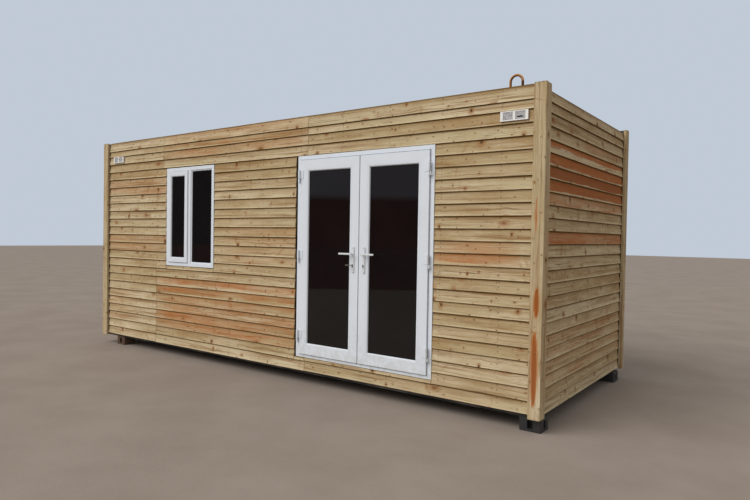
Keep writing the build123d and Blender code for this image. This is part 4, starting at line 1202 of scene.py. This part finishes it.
# Half widths, half heights and depths of the keyway and the key
keyway_half, keyway_rise, keyway_depth = 0.0013, 0.0045, 0.0009
key_half, key_rise, key_length = 0.001, 0.0035, 0.026
bow_centre, bow_reach, bow_rise, bow_bar, bow_proud = 0.03, 0.031, 0.0052, 0.0022, 0.001
for side in ("left", "right"):
    leaf = f"{side}_leaf"
    plates = f"{side}_handle_plates"
    softened(plates, f"{side}_handle_castings", powder_coat, 0.0019, leaf, "handle", 2, 50.0)
    lever = f"{side}_lever"
    softened(lever, f"{lever}_casting", powder_coat, 0.0032, f"{side}_handle", "handle", 3, 50.0)
    plate_low, plate_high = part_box(plates)
    x = (plate_low.x + plate_high.x) / 2
    y = plate_front - screw_lift
    plate_screws = [((x, y, spindle_z + rise), (0, -1, 0)) for rise in plate_screw_rises]
    round_heads(f"{side}_plate_screws", plate_screws, leaf, "handle", 0.0036, 0.0014, lock_metal, 0.3)
    bm = bmesh.new()
    rings = []
    for depth, share in ((0.001, 1.0), (-0.0002, 1.0), (-0.0006, 0.93)):
        y = cylinder_face + depth
        rings.append([bm.verts.new((x + reach * share, y, lock_z + rise * share)) for reach, rise in barrel])
    close_rings(bm, rings)
    solid_piece(bm, f"{side}_lock_cylinder", cylinder_metal, leaf, "handle")
    # The keyway is a thin black block on the cylinder face: painted shade for the slot
    low = (x - keyway_half, cylinder_face - keyway_depth, lock_z - keyway_rise)
    high = (x + keyway_half, cylinder_face, lock_z + keyway_rise)
    block_piece(f"{side}_keyway", [(low, high)], 0.0003, seal_rubber, leaf, "handle")
    if side == "left":
        bm = bmesh.new()
        key_end = cylinder_face - key_length
        low = (x - key_half, key_end, lock_z - key_rise)
        rounded_block(bm, low, (x + key_half, cylinder_face, lock_z + key_rise), 0.0004)
        key_bow = []
        for turn in round_turns(24):
            bow_x, bow_z = x - bow_centre + bow_reach * math.cos(turn), lock_z + bow_rise * math.sin(turn)
            key_bow.append(Vector((bow_x, key_end - bow_proud, bow_z)))
        tube_along(bm, key_bow, bow_bar, 8, closed=True)
        solid_piece(bm, "left_key", lock_metal, "left_leaf", "handle")

# Window: a welded plastic frame with a sash that stands proud on the left and a fixed light on the right.
# External beads hold the fixed light, and rubber gaskets show as black lines round both panes.
window_outline = outline("window_frame")
window_left, window_right, window_bottom, window_top = window_outline
window_face, mullion_place, mullion_half, mullion_tuck = 0.04, 0.441, 0.023, 0.002
light_bottom, light_top = window_bottom + window_face, window_top - window_face
mullion_left = window_left + mullion_place - mullion_half
mullion_right = window_left + mullion_place + mullion_half
fixed_outline = (mullion_right, window_right - window_face, light_bottom, light_top)
fixed_front, fixed_glass, fixed_inner = 0.036, 0.047, 0.0713
bm = bmesh.new()
mitred_ring(bm, window_outline, rim(0.0, window_face, frame_front, frame_back))
fixed_profile = [
    (0.0, frame_back),
    (0.0, fixed_front + 0.001),
    (0.001, fixed_front),
    (0.009, fixed_front + 0.001),
    (0.014, fixed_front + 0.005),
    (0.016, fixed_glass),
    (0.0107, fixed_glass),
    (0.0107, fixed_inner),
    (0.025, fixed_inner),
    (0.025, frame_back),
]
mitred_ring(bm, fixed_outline, fixed_profile)
mullion_low = (mullion_left, frame_front - half_width, light_bottom - mullion_tuck)
mullion_high = (mullion_right, frame_back - half_width, light_top + mullion_tuck)
rounded_block(bm, mullion_low, mullion_high, 0.0018)
replaced = ["window_frame"]
solid_piece(bm, "window_frame_profiles", white_plastic, "cabin", "white_plastic", replaced, crease=28.0)
fixed_gasket = [(0.0156, 0.0445), (0.0156, 0.0469), (0.0192, 0.0469), (0.0186, 0.0452), (0.017, 0.0442)]
ring_piece("fixed_light_gasket", [(fixed_outline, fixed_gasket)], seal_rubber)
double_glazing("window_fixed_glass", "cabin")

# The sash has the leaves' section, with narrower rails
sash_front, sash_back, sash_shift = 0.018, 0.078, -0.051
sash_profile = [
    (inset + (sash_shift if inset > 0.05 else 0.0), min(depth + sash_front - leaf_front, sash_back))
    for inset, depth in leaf_profile
]
sash_outline = outline("window_sash")
ring_piece("window_sash_profiles", [(sash_outline, sash_profile)], white_plastic, replaced=["window_sash"])
sash_gasket = shifted(gasket_profile, sash_shift, sash_front)
ring_piece("window_sash_gasket", [(sash_outline, sash_gasket)], seal_rubber)
double_glazing("window_sash_glass", "cabin")
stop_ring = (outline("window_stop"), rim(0.0, stop_width, sash_back, frame_back, 0.001))
ring_piece("window_stop_profiles", [stop_ring], white_plastic, replaced=["window_stop"])

# Vents: two moulded plastic grilles high on the front, each of two cells with sloping louvres.
# They are a brighter white than the frames; the louvres set back from the rim are painted grey as shade, with
# a little dust.
# One louvre of the right-hand vent is broken out, and a black block in the hole behind it is painted shade.
vent_low, vent_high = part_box("front_vents")
vent_plastic, place, dress = finish_of("vent_plastic", 0.0003)
# Surfaces set back from the rim turn grey as painted shade; the noise adds real dust
dust = (place.parts()[1] - vent_low.y).rise(0.0014, 0.004, 0.0, 0.75)
dust = dust + place.noise(40.0, 5.0, 0.6).rise(0.45, 0.8, 0.0, 0.2)
dress(
    dust.tint((0.93, 0.93, 0.92), (0.62, 0.62, 0.67)),
    dust.rise(0.0, 1.0, 0.35, 0.7),
    place.noise(220.0, 2.0),
)
softened("front_vents", "vent_mouldings", vent_plastic, 0.0005, "cabin", "white_plastic", 1, 40.0)
# Inner flanges, set a little behind the moulded rim, make the rims as wide as they look from the ground
vent_width, flange, bar_half, edge = 0.229, 0.022, 0.01, 0.003
set_back, flange_back = 0.0006, 0.0035
flanges = []
for left in (vent_low.x, vent_high.x - vent_width):
    right, middle = left + vent_width, left + vent_width / 2
    bar = (middle - bar_half, middle + bar_half)
    for start, end in ((left + edge, left + flange), bar, (right - flange, right - edge)):
        flange_low = (start, vent_low.y + set_back, vent_low.z + edge)
        flanges.append((flange_low, (end, vent_low.y + flange_back, vent_high.z - edge)))
block_piece("vent_flanges", flanges, 0.0006, vent_plastic, "cabin", "white_plastic")
slot_inset, slot_half, slot_depth, slot_foot, slot_head = 0.067, 0.022, 0.004, 0.0235, 0.0325
slot_x, slot_y = vent_high.x - slot_inset, vent_low.y + set_back
slot_low = (slot_x - slot_half, slot_y, vent_low.z + slot_foot)
slot_high = (slot_x + slot_half, slot_y + slot_depth, vent_low.z + slot_head)
# A black block in the broken louvre's hole: painted shade
block_piece("vent_slot_shade", [(slot_low, slot_high)], 0.0008, seal_rubber, "cabin", "white_plastic")

# Stage: a plain pale floor and an even backdrop, lit softly from the front left and above, so that the right
# end stays in shade. Only mirrored rays see a dark zone on the left and a dark red band low down, because the
# panes in the photo mirror a shed and machines that aren't built here.
reach = 60
floor_mesh = bpy.data.meshes.new("ground")
ground_corners = [(-reach, -reach, 0), (reach, -reach, 0), (reach, reach, 0), (-reach, reach, 0)]
floor_mesh.from_pydata(ground_corners, [], [(0, 1, 2, 3)])
ground = bpy.data.objects.new("ground", floor_mesh)
bpy.context.scene.collection.objects.link(ground)
ground_skin, place, dress = finish_of("pale_floor", 0.002)
x, y, _ = place.parts()
# How far the ground lies out along the camera's view as the panes mirror it
view_x, view_y, band_start = -0.589, 0.808, 11.3
far_away = (x * view_x - y * view_y) > band_start
mirrored = made(ground_skin.node_tree, "ShaderNodeLightPath", output="Is Glossy Ray")
pale = place.noise(1.2, 6.0, 0.6).rise(0.3, 0.7).tint((0.29, 0.243, 0.208), (0.33, 0.28, 0.243))
dress((mirrored * far_away).tint(pale, (0.1, 0.03, 0.028)), 0.92, place.noise(40.0, 4.0))
floor_mesh.materials.append(ground_skin)

world = bpy.data.worlds.new("soft_studio")
bpy.context.scene.world = world
world.use_nodes = True
sky = world.node_tree
path = {output.name: Field(output) for output in add(sky, "ShaderNodeLightPath").outputs}
leftwards, _, upwards = made(sky, "ShaderNodeTexCoord", output="Generated").parts()
band_top, band_edge, zone_side, zone_edge = 0.058, 0.072, -0.76, -0.72
opposite = upwards.rise(band_top, band_edge).tint((0.11, 0.035, 0.032), (0.32, 0.325, 0.37))
opposite = leftwards.rise(zone_side, zone_edge).tint((0.04, 0.043, 0.05), opposite)
seen = path["Is Camera Ray"].most(path["Is Transmission Ray"])
lit = seen.tint((0.51, 0.495, 0.472), (0.53, 0.59, 0.67))
fill(sky.nodes["Background"], {"Color": path["Is Glossy Ray"].tint(lit, opposite), "Strength": 1.0})

lamp = bpy.data.lights.new("front_left_lamp", "SUN")
lamp.angle = math.radians(50.0)
lamp.energy = 2.03
lamp.color = (1.0, 0.98, 0.95)
holder = bpy.data.objects.new("front_left_lamp", lamp)
holder.rotation_euler = Vector((-0.38, -0.68, 0.72)).to_track_quat("Z", "Y").to_euler()
holder.visible_glossy = False
bpy.context.scene.collection.objects.link(holder)

camera_data = bpy.data.cameras.new("photo_view")
camera_data.sensor_width = 36.0
camera_data.lens = 28.685
camera_data.clip_end = 200.0
camera = bpy.data.objects.new("photo_view", camera_data)
# Place and turns of the photo's camera, solved from the cabin's straight edges
view = Matrix.Translation((4.66268, -5.58276, 1.47564))
for degrees, axis in ((36.118, "Z"), (90 - 1.261, "X"), (0.948, "Z")):
    view = view @ Matrix.Rotation(math.radians(degrees), 4, axis)
camera.matrix_world = view
bpy.context.scene.collection.objects.link(camera)
bpy.context.scene.camera = camera
bpy.context.scene.view_settings.view_transform = "Standard"
